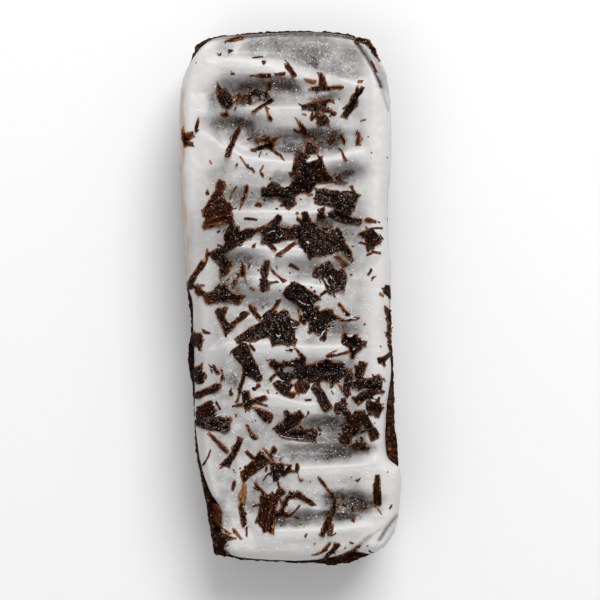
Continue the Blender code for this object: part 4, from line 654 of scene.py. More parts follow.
# Single crumbs of chocolate: (x, y, across).
CRUMBS = [
    (-21.4, 53.8, 0.4), (6.3, 54, 0.7), (-1.1, 50.4, 0.5), (11.5, 45.6, 0.5), (-7, 45.4, 0.5),
    (-12.1, 30.4, 0.9), (-5.3, 33, 0.6), (-4.4, 27.3, 0.7), (-2.9, 20.3, 0.7), (-5.8, 22.5, 0.8),
    (-13.6, 26, 0.4), (-8.6, 24.2, 0.4), (22.5, 32.2, 0.5), (18.8, 33.2, 0.4), (2.6, 22.6, 0.5),
    (14.7, 14.6, 0.4), (14.6, 11.8, 0.6), (-9, 13.3, 0.4), (-8.6, 2.1, 0.6), (-11.9, 1.9, 0.8),
    (-2.2, 1.6, 0.6), (-3, 7.2, 0.5), (-2.8, 6.7, 0.5), (0.1, 5.7, 0.5), (14.2, 5.2, 0.7), (5, 2.4, 0.5),
    (5.8, 1.4, 0.7), (-6.2, -2.2, 0.8), (17.3, -6.1, 0.6), (20.9, -11.2, 0.6), (-12.3, -27.2, 0.7),
    (-8.5, -28.7, 0.4), (-7.8, -28.3, 0.4), (-2.9, -22, 0.7), (-5.1, -14.4, 0.7), (8.7, -37.3, 0.7),
    (7.8, -34, 0.4), (-11.3, -39.3, 0.6), (-12.9, -39.7, 0.5), (-12.6, -40.2, 0.6), (-5.2, -39.4, 0.5),
    (-1.9, -52.6, 0.7), (3.8, -54.5, 1), (5.8, -56.5, 0.6), (2.6, -52.3, 0.8), (12.8, -57.6, 0.6),
    (4.8, -42.3, 0.4), (12.2, -44.2, 0.4), (14.2, -41.2, 0.4), (22.5, -40, 0.4), (17.9, -57, 0.5),
    (23.2, -24.2, 0.8), (23.6, -27.6, 0.6), (23.1, -30.6, 0.9), (23.7, -32.8, 0.6), (23.2, -35.2, 0.8),
    (-18.9, -47.2, 0.7), (-18.2, -50.6, 0.6), (-17.6, -57, 0.6),
]

# Settings of nodes that come back in several finishes. A mix of colours takes its share at
# input 0 and its two colours at inputs 6 and 7, and gives the result at output 2.
COLOURS = {"data_type": "RGBA"}
SOFT_STEP = {"interpolation_type": "SMOOTHSTEP"}
TIMES = {"operation": "MULTIPLY"}
PLUS = {"operation": "ADD"}
MINUS = {"operation": "SUBTRACT"}


def linear(hex_colour):
    """An sRGB hex colour as linear RGBA."""
    levels = [int(hex_colour[place:place + 2], 16) / 255 for place in (1, 3, 5)]
    return (*[level / 12.92 if level <= 0.04045 else ((level + 0.055) / 1.055) ** 2.4
              for level in levels], 1.0)


def per(size):
    """Texture scale whose features are `size` millimetres across."""
    return 1.0 / (size * MM)


def add_node(material, kind, settings=None, output=0, **inputs):
    """Add a node and give one of its outputs. Settings go in by attribute, and a ramp's as
    stops. Inputs go by name, or by number as in0, and take a number, a hex colour or an output."""
    node = material.node_tree.nodes.new("ShaderNode" + kind)
    for name, value in (settings or {}).items():
        if name == "stops":
            stops = node.color_ramp.elements
            for index, (position, colour) in enumerate(value):
                stop = stops[index] if index < 2 else stops.new(position)
                stop.position, stop.color = position, linear(colour)
        else:
            setattr(node, name, value)
    for name, value in inputs.items():
        target = node.inputs[int(name[2:]) if name[2:].isdigit() else name.replace("_", " ")]
        if isinstance(value, bpy.types.NodeSocket):
            material.node_tree.links.new(value, target)
        else:
            target.default_value = linear(value) if isinstance(value, str) else value
    return node.outputs[output] if node.outputs else None


def new_material(name):
    """A material with no nodes yet, and the function that adds them to it."""
    material = bpy.data.materials.new(name)
    material.use_nodes = True
    material.node_tree.nodes.clear()
    return material, partial(add_node, material)


def baked_chocolate_cake():
    """Brownie: a dense, moist cocoa crumb. Near black, matt, with redder and greyer grains."""
    material, add = new_material("baked_chocolate_cake")
    place = add("TexCoord", output="Object")
    patches = add("TexNoise", Vector=place, Scale=per(9.0), Detail=3.0)
    crumbs = add("TexNoise", Vector=place, Scale=per(0.9), Detail=6.0, Roughness=0.65)
    grains = add("TexVoronoi", output="Color", Vector=place, Scale=per(0.55))
    grain = add("SeparateColor", Color=grains)
    darker = add("ValToRGB", {"stops": [
        (0.38, "#050201"), (0.50, "#170b06"), (0.63, "#452819")]}, Fac=crumbs)
    redder = add("ValToRGB", {"stops": [
        (0.36, "#110603"), (0.50, "#2e160c"), (0.65, "#5f3927")]}, Fac=crumbs)
    red_share = add("MapRange", SOFT_STEP, Value=patches, From_Min=0.42, From_Max=0.56)
    crumb = add("Mix", COLOURS, 2, in0=red_share, in6=darker, in7=redder)
    grey_share = add("MapRange", SOFT_STEP, Value=grain, From_Min=0.955, From_Max=0.985)
    colour = add("Mix", COLOURS, 2, in0=grey_share, in6=crumb, in7="#54433a")
    bump = add("Bump", Height=crumbs, Strength=0.9, Distance=0.5 * MM)
    surface = add("BsdfPrincipled", Base_Color=colour, Roughness=0.78,
                  IOR=1.45, Specular_IOR_Level=0.05, Normal=bump)
    add("OutputMaterial", Surface=surface)
    return material


def beaten_icing():
    """White icing: sugar beaten with fat. Soft satin, and grey to brown where it is so thin
    that the cake shows through, and where painted shade darkens it in its troughs, along its
    folds and in broad places along its sides."""
    material, add = new_material("beaten_icing")
    place = add("TexCoord", output="Object")
    thin = add("Attribute", {"attribute_name": "thin"}, "Fac")
    patchy = add("Attribute", {"attribute_name": "patchy"}, "Fac")
    stain = add("Attribute", {"attribute_name": "stain"}, "Fac")

    mottle = add("TexNoise", Vector=place, Scale=per(0.8), Detail=6.0, Roughness=0.7)
    sway = add("Math", MINUS, in0=mottle, in1=0.5)
    uneven = add("Math", TIMES, in0=sway, in1=patchy)
    show_and_shade = add("Math", PLUS, in0=thin, in1=uneven)
    # Grey to brown where the cake shows through thin icing, and where painted shade lies.
    veil_and_shade = add("ValToRGB", {"stops": [
        (0.02, "#d2d1d0"), (0.20, "#b8b7b6"), (0.42, "#9b9998"), (0.62, "#787472"),
        (0.80, "#514945"), (1.0, "#2c221d")]}, Fac=show_and_shade)

    speckle = add("TexVoronoi", Vector=place, Scale=per(0.7))
    small = add("Math", {"operation": "LESS_THAN"}, in0=speckle, in1=0.20)
    small_here = add("Math", TIMES, in0=small, in1=patchy)
    specks = add("Math", TIMES, in0=small_here, in1=0.7)
    specked = add("Mix", COLOURS, 2, in0=specks, in6=veil_and_shade, in7="#c4c3c2")
    stained = add("Mix", COLOURS, 2, in0=stain, in6=specked, in7="#b98f66")

    # The beaten sugar's own grain is too fine to show, so it is drawn 0.35 mm across.
    fine = add("TexNoise", Vector=place, Scale=per(0.35), Detail=4.0)
    bump = add("Bump", Height=fine, Strength=0.25, Distance=0.10 * MM)
    surface = add("BsdfPrincipled", Base_Color=stained, Roughness=0.37,
                  IOR=1.46, Specular_IOR_Level=0.35, Normal=bump, Subsurface_Weight=0.10,
                  Subsurface_Radius=(1.0, 0.9, 0.8), Subsurface_Scale=0.6 * MM)
    add("OutputMaterial", Surface=surface)
    return material


def shaved_chocolate():
    """Dark chocolate pared with a knife: near black and streaked along the cut, dull with
    bloom in places, with painted sheen mixed into that grey, and copper brown at its torn rims
    and in thin slivers."""
    material, add = new_material("shaved_chocolate")
    place = add("TexCoord", output="Object")
    grain = add("Attribute", {"attribute_name": "grain"}, "Vector")
    tone = add("Attribute", {"attribute_name": "tone"}, "Fac")
    frost = add("Attribute", {"attribute_name": "frost"}, "Fac")
    border = add("Attribute", {"attribute_name": "rim"}, "Fac")

    # The grain is kept in millimetres, so a scale here is one over a size: the streaks are
    # 4 mm long and 0.5 mm wide, and the specks 0.7 mm and the dust 0.3 mm across.
    along_cut = add("VectorMath", TIMES, in0=grain, in1=(0.25, 1.9, 1.0))
    streaks = add("TexNoise", Vector=along_cut, Scale=1.0, Detail=5.0, Roughness=0.65)
    specks = add("TexNoise", Vector=grain, Scale=1.5, Detail=4.0, Roughness=0.75)
    dust = add("TexNoise", Vector=grain, Scale=3.2, Detail=3.0, Roughness=0.8)

    black = add("ValToRGB", {"stops": [
        (0.38, "#020000"), (0.52, "#0b0301"), (0.61, "#29130a"), (0.74, "#5c3019")]}, Fac=streaks)
    brown = add("ValToRGB", {"stops": [
        (0.34, "#1f0c05"), (0.48, "#3a1a0c"), (0.62, "#5d2d12"), (0.78, "#7a3f1b")]}, Fac=streaks)
    tan = add("ValToRGB", {"stops": [(0.35, "#84522a"), (0.65, "#a77b50")]}, Fac=streaks)
    brown_share = add("MapRange", SOFT_STEP, Value=tone, From_Min=0.0, From_Max=0.5)
    tan_share = add("MapRange", SOFT_STEP, Value=tone, From_Min=0.5, From_Max=1.0)
    dark = add("Mix", COLOURS, 2, in0=brown_share, in6=black, in7=brown)
    plain = add("Mix", COLOURS, 2, in0=tan_share, in6=dark, in7=tan)

    # The dull grey is partly bloom and partly painted sheen: gleams put into the colour.
    speck_sway = add("Math", MINUS, in0=specks, in1=0.5)
    cluster_sway = add("Math", TIMES, in0=speck_sway, in1=0.5)
    clusters = add("Math", PLUS, in0=dust, in1=cluster_sway)
    bloom_and_sheen_spots = add("MapRange", SOFT_STEP, Value=clusters, From_Min=0.54, From_Max=0.64)
    bloom_and_sheen_here = add("Math", TIMES, in0=frost, in1=bloom_and_sheen_spots)
    bloom_and_sheen_share = add("Math", TIMES, in0=bloom_and_sheen_here, in1=0.9)
    with_bloom_and_sheen = add("Mix", COLOURS, 2, in0=bloom_and_sheen_share, in6=plain, in7="#857e79")

    torn = add("Math", PLUS, in0=border, in1=speck_sway)
    rim = add("MapRange", SOFT_STEP, Value=torn, From_Min=0.18, From_Max=0.76)
    stretches = add("TexNoise", Vector=place, Scale=per(2.2), Detail=2.0)
    torn_here = add("MapRange", SOFT_STEP, Value=stretches, From_Min=0.28, From_Max=0.52)
    rim_here = add("Math", TIMES, in0=rim, in1=torn_here)
    rim_share = add("Math", TIMES, in0=rim_here, in1=0.95)
    copper = add("ValToRGB", {"stops": [(0.40, "#6f3c1a"), (0.60, "#b0703c")]}, Fac=specks)
    colour = add("Mix", COLOURS, 2, in0=rim_share, in6=with_bloom_and_sheen, in7=copper)

    bump = add("Bump", Height=specks, Strength=0.6, Distance=0.20 * MM)
    surface = add("BsdfPrincipled", Base_Color=colour, Roughness=0.40,
                  IOR=1.46, Specular_IOR_Level=0.03, Normal=bump)
    add("OutputMaterial", Surface=surface)
    return material


def sugar_crystal():
    """Coarse sugar: small clear crystals that look white and glint."""
    material, add = new_material("sugar_crystal")
    surface = add("BsdfPrincipled", Base_Color="#f2f1ef", Roughness=0.25, IOR=1.54)
    add("OutputMaterial", Surface=surface)
    return material


def matt_white_board():
    """Painted board under the bar, plain and pale."""
    material, add = new_material("matt_white_board")
    surface = add("BsdfPrincipled", Base_Color="#f6f6f6", Roughness=0.9, Specular_IOR_Level=0.1)
    add("OutputMaterial", Surface=surface)
    return material


def smooth(value):
    """0 up to 0, 1 from 1 on, and a soft S between them."""
    value = np.clip(value, 0.0, 1.0)
    return value * value * (3.0 - 2.0 * value)


def noise_at(points, size, octaves=1):
    """Smooth noise, about -1 to 1, with features `size` millimetres across."""
    values = np.zeros(len(points))
    for octave in range(octaves):
        factor = 2 ** octave / size
        values += [noise.noise(Vector(point)) / 1.8 ** octave for point in points * factor]
    return values


def noise_over(x, y, size, octaves=1, shift=0.0):
    """The same noise over a grid of places."""
    flat = np.column_stack([x.ravel(), y.ravel(), np.zeros(x.size)]) + shift
    return noise_at(flat, size, octaves).reshape(x.shape)


def curve_through(points, count):
    """Evenly spaced points on a smooth curve through the given ones, as the solids have."""
    knots = np.array(points, float)
    knots = np.vstack([2 * knots[0] - knots[1], knots, 2 * knots[-1] - knots[-2]])
    t = np.linspace(0, 1, 24, endpoint=False)[:, None]
    dense = [0.5 * (2 * b + (c - a) * t + (2 * a - 5 * b + 4 * c - d) * t ** 2
                    + (3 * b - a - 3 * c + d) * t ** 3)
             for a, b, c, d in zip(knots, knots[1:], knots[2:], knots[3:])]
    dense = np.vstack([*dense, knots[-2]])
    travelled = np.concatenate([[0], np.cumsum(np.linalg.norm(np.diff(dense, axis=0), axis=1))])
    at = np.linspace(0, travelled[-1], count)
    return np.column_stack([np.interp(at, travelled, dense[:, axis]) for axis in (0, 1)])


def closed_outline(sides, cell):
    """The four sides as one ring of points, anticlockwise seen from above."""
    ring = []
    for side, turned in (("start", False), ("right", False), ("end", True), ("left", True)):
        length = np.linalg.norm(np.diff(np.array(sides[side], float), axis=0), axis=1).sum()
        points = curve_through(sides[side], max(4, round(length / cell)))
        ring.append((points[::-1] if turned else points)[:-1])
    return np.vstack(ring)


def outward(ring):
    """The level direction that points out of an anticlockwise ring, at each point."""
    along = np.roll(ring, -1, axis=0) - np.roll(ring, 1, axis=0)
    normal = np.column_stack([along[:, 1], -along[:, 0]])
    return normal / np.linalg.norm(normal, axis=1)[:, None]


def overhang(points, ring):
    """Distance of each point outside a ring, or minus its distance inside."""
    start = ring[None]
    edge = (np.roll(ring, -1, axis=0) - ring)[None]
    gap = points[:, None] - start
    share = np.clip((gap * edge).sum(2) / (edge ** 2).sum(2), 0, 1)
    away = gap - edge * share[..., None]
    distance = np.linalg.norm(away, axis=2)
    nearest = distance.argmin(1)
    rows = np.arange(len(points))
    gap_x, gap_y = away[rows, nearest].T
    side = edge[0, nearest, 0] * gap_y - edge[0, nearest, 1] * gap_x
    return distance[rows, nearest] * np.where(side < 0, 1.0, -1.0)


def ridge_height(x, y):
    """How far the spatula's ridges stand above the troughs: steep ahead and gentle behind."""
    height = np.zeros_like(x)
    for crest, top in RIDGES:
        crest_y = np.full_like(x, crest[0][1], dtype=float)
        for (x0, y0), (x1, y1) in zip(crest, crest[1:]):
            crest_y = np.where(x >= x0, y0 + (y1 - y0) * smooth((x - x0) / (x1 - x0)), crest_y)
        away = y - crest_y
        reach = np.where(away > 0, RIDGE_STEEP, RIDGE_GENTLE)
        beyond = np.maximum(np.maximum(crest[0][0] - x, x - crest[-1][0]), 0)
        ending = 1 - smooth(beyond / RIDGE_FADE)
        height = np.maximum(height, top * np.exp(-(away / reach) ** 2) * ending)
    return height


def scoop_depth(x, y):
    """How deep the spatula scooped, in flat-bottomed hollows."""
    depth = np.zeros_like(x)
    for centre_x, centre_y, half_x, half_y, deep in SCOOPS:
        spread = ((x - centre_x) / half_x) ** 2 + ((y - centre_y) / half_y) ** 2
        depth = np.maximum(depth, deep * np.exp(-spread ** 1.4))
    return depth


def fold_depth(x, y):
    """How much lower the icing is: a groove at each fold, and a step down outside it."""
    depth = np.zeros_like(x)
    points = np.column_stack([x.ravel(), y.ravel()])
    for fold, depth_and_shade in FOLDS:
        line = curve_through(fold, 40)
        gap = points[:, None] - line[None]
        distance = np.linalg.norm(gap, axis=2)
        nearest = distance.argmin(1)
        rows = np.arange(len(points))
        along = np.gradient(line, axis=0)[nearest]
        side = along[:, 0] * gap[rows, nearest, 1] - along[:, 1] * gap[rows, nearest, 0]
        away = distance[rows, nearest]
        groove = FOLD_DEPTH * np.exp(-(away / FOLD_WIDTH) ** 2)
        step_down = FOLD_DROP * smooth(away / 0.8) * (1 - smooth((away - 2) / 3))
        lower = groove + np.where(side > 0, step_down, 0)
        depth = np.maximum(depth, depth_and_shade * lower.reshape(x.shape))
    return depth


def cake_showing_and_shade(x, y):
    """How much of the cake shows through the icing, from 0 to 1, with wavering borders, and
    painted shade along the folds and in broad faint places.
    """
    flat = np.column_stack([x.ravel(), y.ravel()])
    wavered_x = x + 0.9 * noise_over(x, y, 2.4, 3)
    wavered_y = y + 0.7 * noise_over(x, y, 2.4, 3, shift=50)
    hidden_and_unshaded = np.ones_like(x)
    for centre_x, centre_y, half_length, half_width, turn, strength in THIN_AND_SHADED_PLACES:
        cosine, sine = math.cos(math.radians(turn)), math.sin(math.radians(turn))
        from_x, from_y = wavered_x - centre_x, wavered_y - centre_y
        along = from_x * cosine + from_y * sine
        across = from_y * cosine - from_x * sine
        spread = (along / half_length) ** 2 + (across / half_width) ** 2
        hidden_and_unshaded *= 1 - strength * np.exp(-0.8 * spread ** 1.7)
    # Painted shade along each fold's crease.
    for fold, depth_and_shade in FOLDS:
        line = curve_through(fold, 60)
        away = np.linalg.norm(flat[:, None] - line[None], axis=2).min(1).reshape(x.shape)
        hidden_and_unshaded *= 1 - depth_and_shade * np.exp(-(away / FOLD_SHADE) ** 2)
    return 1 - hidden_and_unshaded


def icing_places():
    """A grid of places over the icing, blended from its four sides, and how far each place
    is from the left, right, near and far side."""
    across = round(BAR_WIDTH / ICING_CELL)
    along = round(BAR_LENGTH / ICING_CELL)
    start, end = (curve_through(ICING_SIDES[side], across + 1) for side in ("start", "end"))
    left, right = (curve_through(ICING_SIDES[side], along + 1) for side in ("left", "right"))
    u = np.linspace(0, 1, across + 1)[None, :, None]
    v = np.linspace(0, 1, along + 1)[:, None, None]
    near_corners, far_corners = ((1 - u) * side[0] + u * side[-1] for side in (start, end))
    corners = near_corners * (1 - v) + far_corners * v
    level = (1 - u) * left[:, None] + u * right[:, None] + (1 - v) * start[None] + v * end[None]
    width = np.linalg.norm(right - left, axis=1)[:, None]
    length = np.linalg.norm(end - start, axis=1)[None, :]
    u, v = u[..., 0], v[..., 0]
    return level - corners, (u * width, (1 - u) * width, v * length, (1 - v) * length)


def icing_grid():
    """The icing's top as a grid: places, share of full thickness, thickness, cake showing
    and painted shade.
    """
    level, from_sides = icing_places()
    share = np.ones(level.shape[:2])
    for away in from_sides:
        share = share * np.sqrt(1 - (1 - np.minimum(away / ICING_EDGE, 1)) ** 2)

    x, y = level[..., 0], level[..., 1]
    band = smooth((np.abs(x) - BAND_START) / BAND_WIDTH)
    spread = (ICING_FLOOR + ridge_height(x, y)) * (1 - band) + ICING_BAND * band
    waver = 0.35 * noise_over(x, y, WAVER_SIZE)
    thickness = np.maximum(ICING_THIN, spread - scoop_depth(x, y) + waver)
    drag_marks = 0.06 * noise_over(0.10 * x, y, 1.6, 2) + 0.035 * noise_over(0.06 * x, y, 0.55)
    lumps = 0.09 * noise_over(x, y, 1.6, 3)
    thickness = thickness + drag_marks * (1 - band) + lumps
    thickness = np.maximum(ICING_LEAST, thickness - fold_depth(x, y))

    # Troughs lean towards grey, in clouds, and less so in the bands and at the near end:
    # partly the cake showing through thinner icing, partly painted shade in the hollows.
    cloud = noise_over(x, y, 3.2, 3, shift=20)
    near_end = smooth((-52.0 - y) / 3.0)
    trough = 1 - smooth((spread - ICING_FLOOR) / 2.0)
    trough_grey_and_shade = 0.20 * trough * (1 - 0.7 * band) * (1 - 0.9 * near_end) * (1 + 1.2 * cloud)
    showing_and_shade = 1 - (1 - cake_showing_and_shade(x, y)) * (1 - trough_grey_and_shade)
    # The far end was cut through, so its edge is dark, and darkest at the right.
    cut_edge = 0.8 + 0.15 * smooth((x - 11) / 3) - 0.35 * smooth((-13 - x) / 3)
    showing_and_shade = np.maximum(showing_and_shade, cut_edge * (1 - smooth((from_sides[3] - 0.8) / 0.9)))
    return level, share, thickness, showing_and_shade


def border_order(rows, columns):
    """Indices of a grid's border, anticlockwise from its first vertex."""
    index = np.arange(rows * columns).reshape(rows, columns)
    return np.concatenate([index[0, :-1], index[:-1, -1], index[-1, :0:-1], index[:0:-1, 0]])


def grid_faces(rows, columns):
    """Quads of a grid that face up."""
    index = np.arange(rows * columns).reshape(rows, columns)
    corners = [index[:-1, :-1], index[:-1, 1:], index[1:, 1:], index[1:, :-1]]
    return np.stack(corners, -1).reshape(-1, 4)


def ring_faces(lower, upper):
    """Quads between two rings of vertex indices in the same order."""
    return np.stack([lower, np.roll(lower, -1), np.roll(upper, -1), upper], -1)


def make_piece(name, points, faces, material, numbers=None, vectors=None,
               shade_smooth=True):
    """A mesh object in metres that rides on the bar, with numbers kept for each vertex."""
    mesh = bpy.data.meshes.new(name)
    corners = [list(map(int, face)) for face in faces]
    mesh.from_pydata((np.asarray(points) * MM).tolist(), [], corners)
    for key, values in (numbers or {}).items():
        kept = mesh.attributes.new(key, "FLOAT", "POINT").data
        kept.foreach_set("value", np.asarray(values, np.float32))
    for key, values in (vectors or {}).items():
        kept = mesh.attributes.new(key, "FLOAT_VECTOR", "POINT").data
        kept.foreach_set("vector", np.asarray(values, np.float32).ravel())
    mesh.materials.append(material)
    mesh.polygons.foreach_set("use_smooth", [shade_smooth] * len(mesh.polygons))
    piece = bpy.data.objects.new(name, mesh)
    bpy.context.scene.collection.objects.link(piece)
    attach(piece, "root")
    return piece


def spread_icing(material):
    """The icing: fine top, rounded rim, lip over the cake's side, and flat underside."""
    level, share, thickness, showing_and_shade = icing_grid()
    rows, columns = share.shape
    order = border_order(rows, columns)
    border = level.reshape(-1, 2)[order]
    over = overhang(border, closed_outline(CAKE_SIDES, 2.0))
    droop = smooth((over - ICING_LIP_START) / 0.6)
    rim = np.full(share.size, ICING_RIM)
    rim[order] -= 0.6 * ICING_LIP * droop
    height = rim * (1 - share.ravel()) + thickness.ravel() * share.ravel()
    top = np.column_stack([level.reshape(-1, 2), CAKE_HEIGHT + height])

    # Four rings go down and in from the top's border: belly, lip, under the lip, and inner.
    inward = -outward(border)
    level_border = np.column_stack([border, np.zeros(len(border))])
    ragged = 0.35 * noise_at(level_border, 6.0) + 0.28 * noise_at(level_border, 1.8, 2)
    lowest = CAKE_HEIGHT + GAP + 0.1 - ICING_LIP * droop + np.minimum(ragged, 0) * droop
    bulge = border - inward * (0.12 + 0.5 * np.maximum(ragged, 0))[:, None]
    belly = np.column_stack([bulge, (top[order, 2] + lowest) / 2])
    lip = np.column_stack([border, lowest])
    tucked = border + inward * (0.5 + (over - GAP - 0.6) * droop)[:, None]
    under = np.column_stack([tucked, lowest - 0.1])
    inner = np.column_stack([tucked + inward * 0.08, np.full(len(border), CAKE_HEIGHT + GAP)])

    points = np.vstack([top, belly, lip, under, inner])
    rings = [order]
    rings += [share.size + len(order) * step + np.arange(len(order)) for step in range(4)]
    faces = [grid_faces(rows, columns)]
    faces += [ring_faces(lower, upper) for upper, lower in zip(rings, rings[1:])]
    thin = np.concatenate([showing_and_shade.ravel(), np.tile(showing_and_shade.ravel()[order] * 0.8, 4)])
    numbers = {"thin": thin, "patchy": smooth((thin - 0.15) / 0.4), "stain": stain_share(points)}
    icing = make_piece("icing_spread", points, np.vstack(faces), material, numbers)
    close_underside(icing)
    return icing


def stain_share(points):
    """Chocolate smeared along the left edge of the icing."""
    x, y = points[:, 0], points[:, 1]
    edge = -23.1 - 1.2 * smooth((y - 5) / 25) - 0.2 * np.sin(y * 0.9)
    along = smooth((y - 2) / 4) * (1 - smooth((y - 46) / 4))
    strength = 0.55 + 0.4 * noise_at(points * (1, 0.4, 0), 2.5, 2)
    return np.clip(smooth((edge - x + 0.5) / 0.8) * along * strength, 0, 1)


def close_underside(icing):
    """Fill the icing's open underside and turn all faces outwards."""
    bm = bmesh.new()
    bm.from_mesh(icing.data)
    open_edges = [edge for edge in bm.edges if edge.is_boundary]
    bmesh.ops.triangle_fill(bm, edges=open_edges, use_beauty=True, normal=(0, 0, -1))
    bmesh.ops.recalc_face_normals(bm, faces=bm.faces)
    bm.to_mesh(icing.data)
    bm.free()


def crumbly_cake(material):
    """The cake: cut sides with crags and pores, and a rough top where the icing is bare."""
    ring = closed_outline(CAKE_SIDES, CAKE_CELL)
    direction = outward(ring)
    count = len(ring)
    worn = CAKE_CHAMFER * 0.4
    levels = np.linspace(worn, CAKE_HEIGHT - worn, round(CAKE_HEIGHT / CAKE_CELL))
    # From the underside, up the sides and in over the top: (how far out, how high).
    profile = [(-2.0, 0.0), (-0.5, 0.0)] + [(0.0, height) for height in levels]
    profile += [(-0.35 - CAKE_CELL * step, CAKE_HEIGHT) for step in range(BARE_TOP_RINGS)]
    rings = []
    for inset, height in profile:
        base = np.column_stack([ring + direction * inset, np.full(count, height)])
        coarse = noise_at(base, 3.6) * 0.7 + noise_at(base, 1.33) * 0.6
        pores = np.array([noise.voronoi(Vector(point * 0.55))[0][0] for point in base])
        crag = 0.45 * coarse + 0.28 * noise_at(base, 0.8, 2) - 0.55 * (1 - smooth(pores / 0.35))
        moved = base.copy()
        if inset == 0:
            moved[:, :2] += direction * np.clip(crag + 0.15, -0.9, 0.4)[:, None]
        elif height > 0:
            moved[:, :2] += direction * np.clip(crag, -0.6, 0.2)[:, None]
            moved[:, 2] += np.clip(crag, -0.9, 0.0) - 0.02
        rings.append(moved)
    index = [np.arange(count) + count * step for step in range(len(rings))]
    faces = [face for lower, upper in zip(index, index[1:]) for face in ring_faces(lower, upper)]
    faces += [index[0][::-1], index[-1]]
    return make_piece("cake_crumb", np.vstack(rings), faces, material)


class Surface:
    """Height of the bar's top on a fine raster, kept current as pieces are laid on it."""

    def __init__(self, pieces):
        self.x = np.arange(-RASTER_X, RASTER_X, HEIGHT_CELL)
        self.y = np.arange(-RASTER_Y, RASTER_Y, HEIGHT_CELL)
        self.height = np.zeros((len(self.y), len(self.x)))
        bm = bmesh.new()
        for piece in pieces:
            bm.from_mesh(piece.data)
        tree = BVHTree.FromBMesh(bm)
        bm.free()
        for row, y in enumerate(self.y):
            for column, x in enumerate(self.x):
                above = Vector((x * MM, y * MM, ABOVE_ALL * MM))
                hit = tree.ray_cast(above, Vector((0, 0, -1)))
                self.height[row, column] = hit[0].z / MM if hit[0] else 0.0
        bare_cake = (self.height > 1) & (self.height < CAKE_HEIGHT + 0.6)
        self.covered = bare_cake.astype(float)

    def cell(self, points):
        """Row and column of the raster at each point."""
        row = np.round((points[:, 1] - self.y[0]) / HEIGHT_CELL).astype(int)
        column = np.round((points[:, 0] - self.x[0]) / HEIGHT_CELL).astype(int)
        return np.clip(row, 0, len(self.y) - 1), np.clip(column, 0, len(self.x) - 1)

    def at(self, points):
        """Height at each point."""
        return self.height[self.cell(points)]

    def raise_to(self, points):
        """Lift the raster up to points with a height."""
        row, column = self.cell(points)
        np.maximum.at(self.height, (row, column), points[:, 2])

    def cover(self, points):
        """Mark places where no icing shows."""
        self.covered[self.cell(points)] = 1.0

    def bare_around(self, points):
        """How much bare icing there is close round each point, from 0 to 1."""
        bare = np.zeros(len(points))
        for step in range(8):
            heading = step * math.tau / 8
            aside = 0.5 * np.array([math.cos(heading), math.sin(heading)])
            bare += 1 - self.covered[self.cell(points[:, :2] + aside)]
        return bare / 8


def torn_line(draw, places, amount):
    """Uneven offsets at places along an edge: a slow wander with sharper teeth."""
    offset = draw.uniform(0, 500)
    slow = np.array([noise.noise(Vector((offset + place * 0.6, 3.1, 0))) for place in places])
    sharp = np.array([noise.noise(Vector((offset + place * 2.1, 9.7, 0))) for place in places])
    return amount * (0.8 * slow + 1.1 * sharp)


def torn_border(corners, depth, draw):
    """The corners as an anticlockwise ring of close points, torn a little."""
    ring = np.array(corners, float)
    if signed_area(ring) < 0:
        ring = ring[::-1]
    close = []
    for start, end in zip(ring, np.roll(ring, -1, axis=0)):
        steps = max(1, round(np.linalg.norm(end - start) / TORN_STEP))
        close += [start + (end - start) * step / steps for step in range(steps)]
    close = np.array(close)
    flat = np.column_stack([close, np.full(len(close), draw.uniform(0, 500))])
    uneven = depth * (noise_at(flat, 1.1) + 0.8 * noise_at(flat, 0.42))
    return close + outward(close) * uneven[:, None]


def signed_area(ring):
    """Area inside a ring, and minus that if it runs clockwise."""
    following = np.roll(ring, -1, axis=0)
    return (ring[:, 0] * following[:, 1] - ring[:, 1] * following[:, 0]).sum() / 2


def typical_half_width(corners):
    """About half the width of an outline: its area against its length all round."""
    ring = np.array(corners, float)
    all_round = np.linalg.norm(np.roll(ring, -1, axis=0) - ring, axis=1).sum()
    return 1.3 * abs(signed_area(ring)) / all_round


def within(points, ring):
    """Whether each point lies inside a ring."""
    start, end = ring[None], np.roll(ring, -1, axis=0)[None]
    x, y = points[:, :1], points[:, 1:2]
    straddles = (start[..., 1] > y) != (end[..., 1] > y)
    rise = np.where(straddles, end[..., 1] - start[..., 1], 1.0)
    crossing = start[..., 0] + (y - start[..., 1]) * (end[..., 0] - start[..., 0]) / rise
    return (straddles & (x < crossing)).sum(1) % 2 == 1


def lattice(ring, cell):
    """Points on a square lattice over a ring's whole extent."""
    low, high = ring.min(0), ring.max(0)
    x, y = np.meshgrid(np.arange(low[0], high[0], cell), np.arange(low[1], high[1], cell))
    return np.column_stack([x.ravel(), y.ravel()])


def settle(flat, surface):
    """Heights of a thin stiff piece that rests on what lies under it."""
    ground = np.maximum(surface.at(flat), CAKE_HEIGHT + 0.5)
    fit = np.column_stack([flat - flat.mean(0), np.ones(len(flat))])
    plane, *_ = np.linalg.lstsq(fit, ground, rcond=None)
    plane[:2] = np.clip(plane[:2], -STEEPEST_LIE, STEEPEST_LIE)
    return np.maximum(0.7 * (fit @ plane) + 0.3 * ground, ground - 0.05) + 0.04


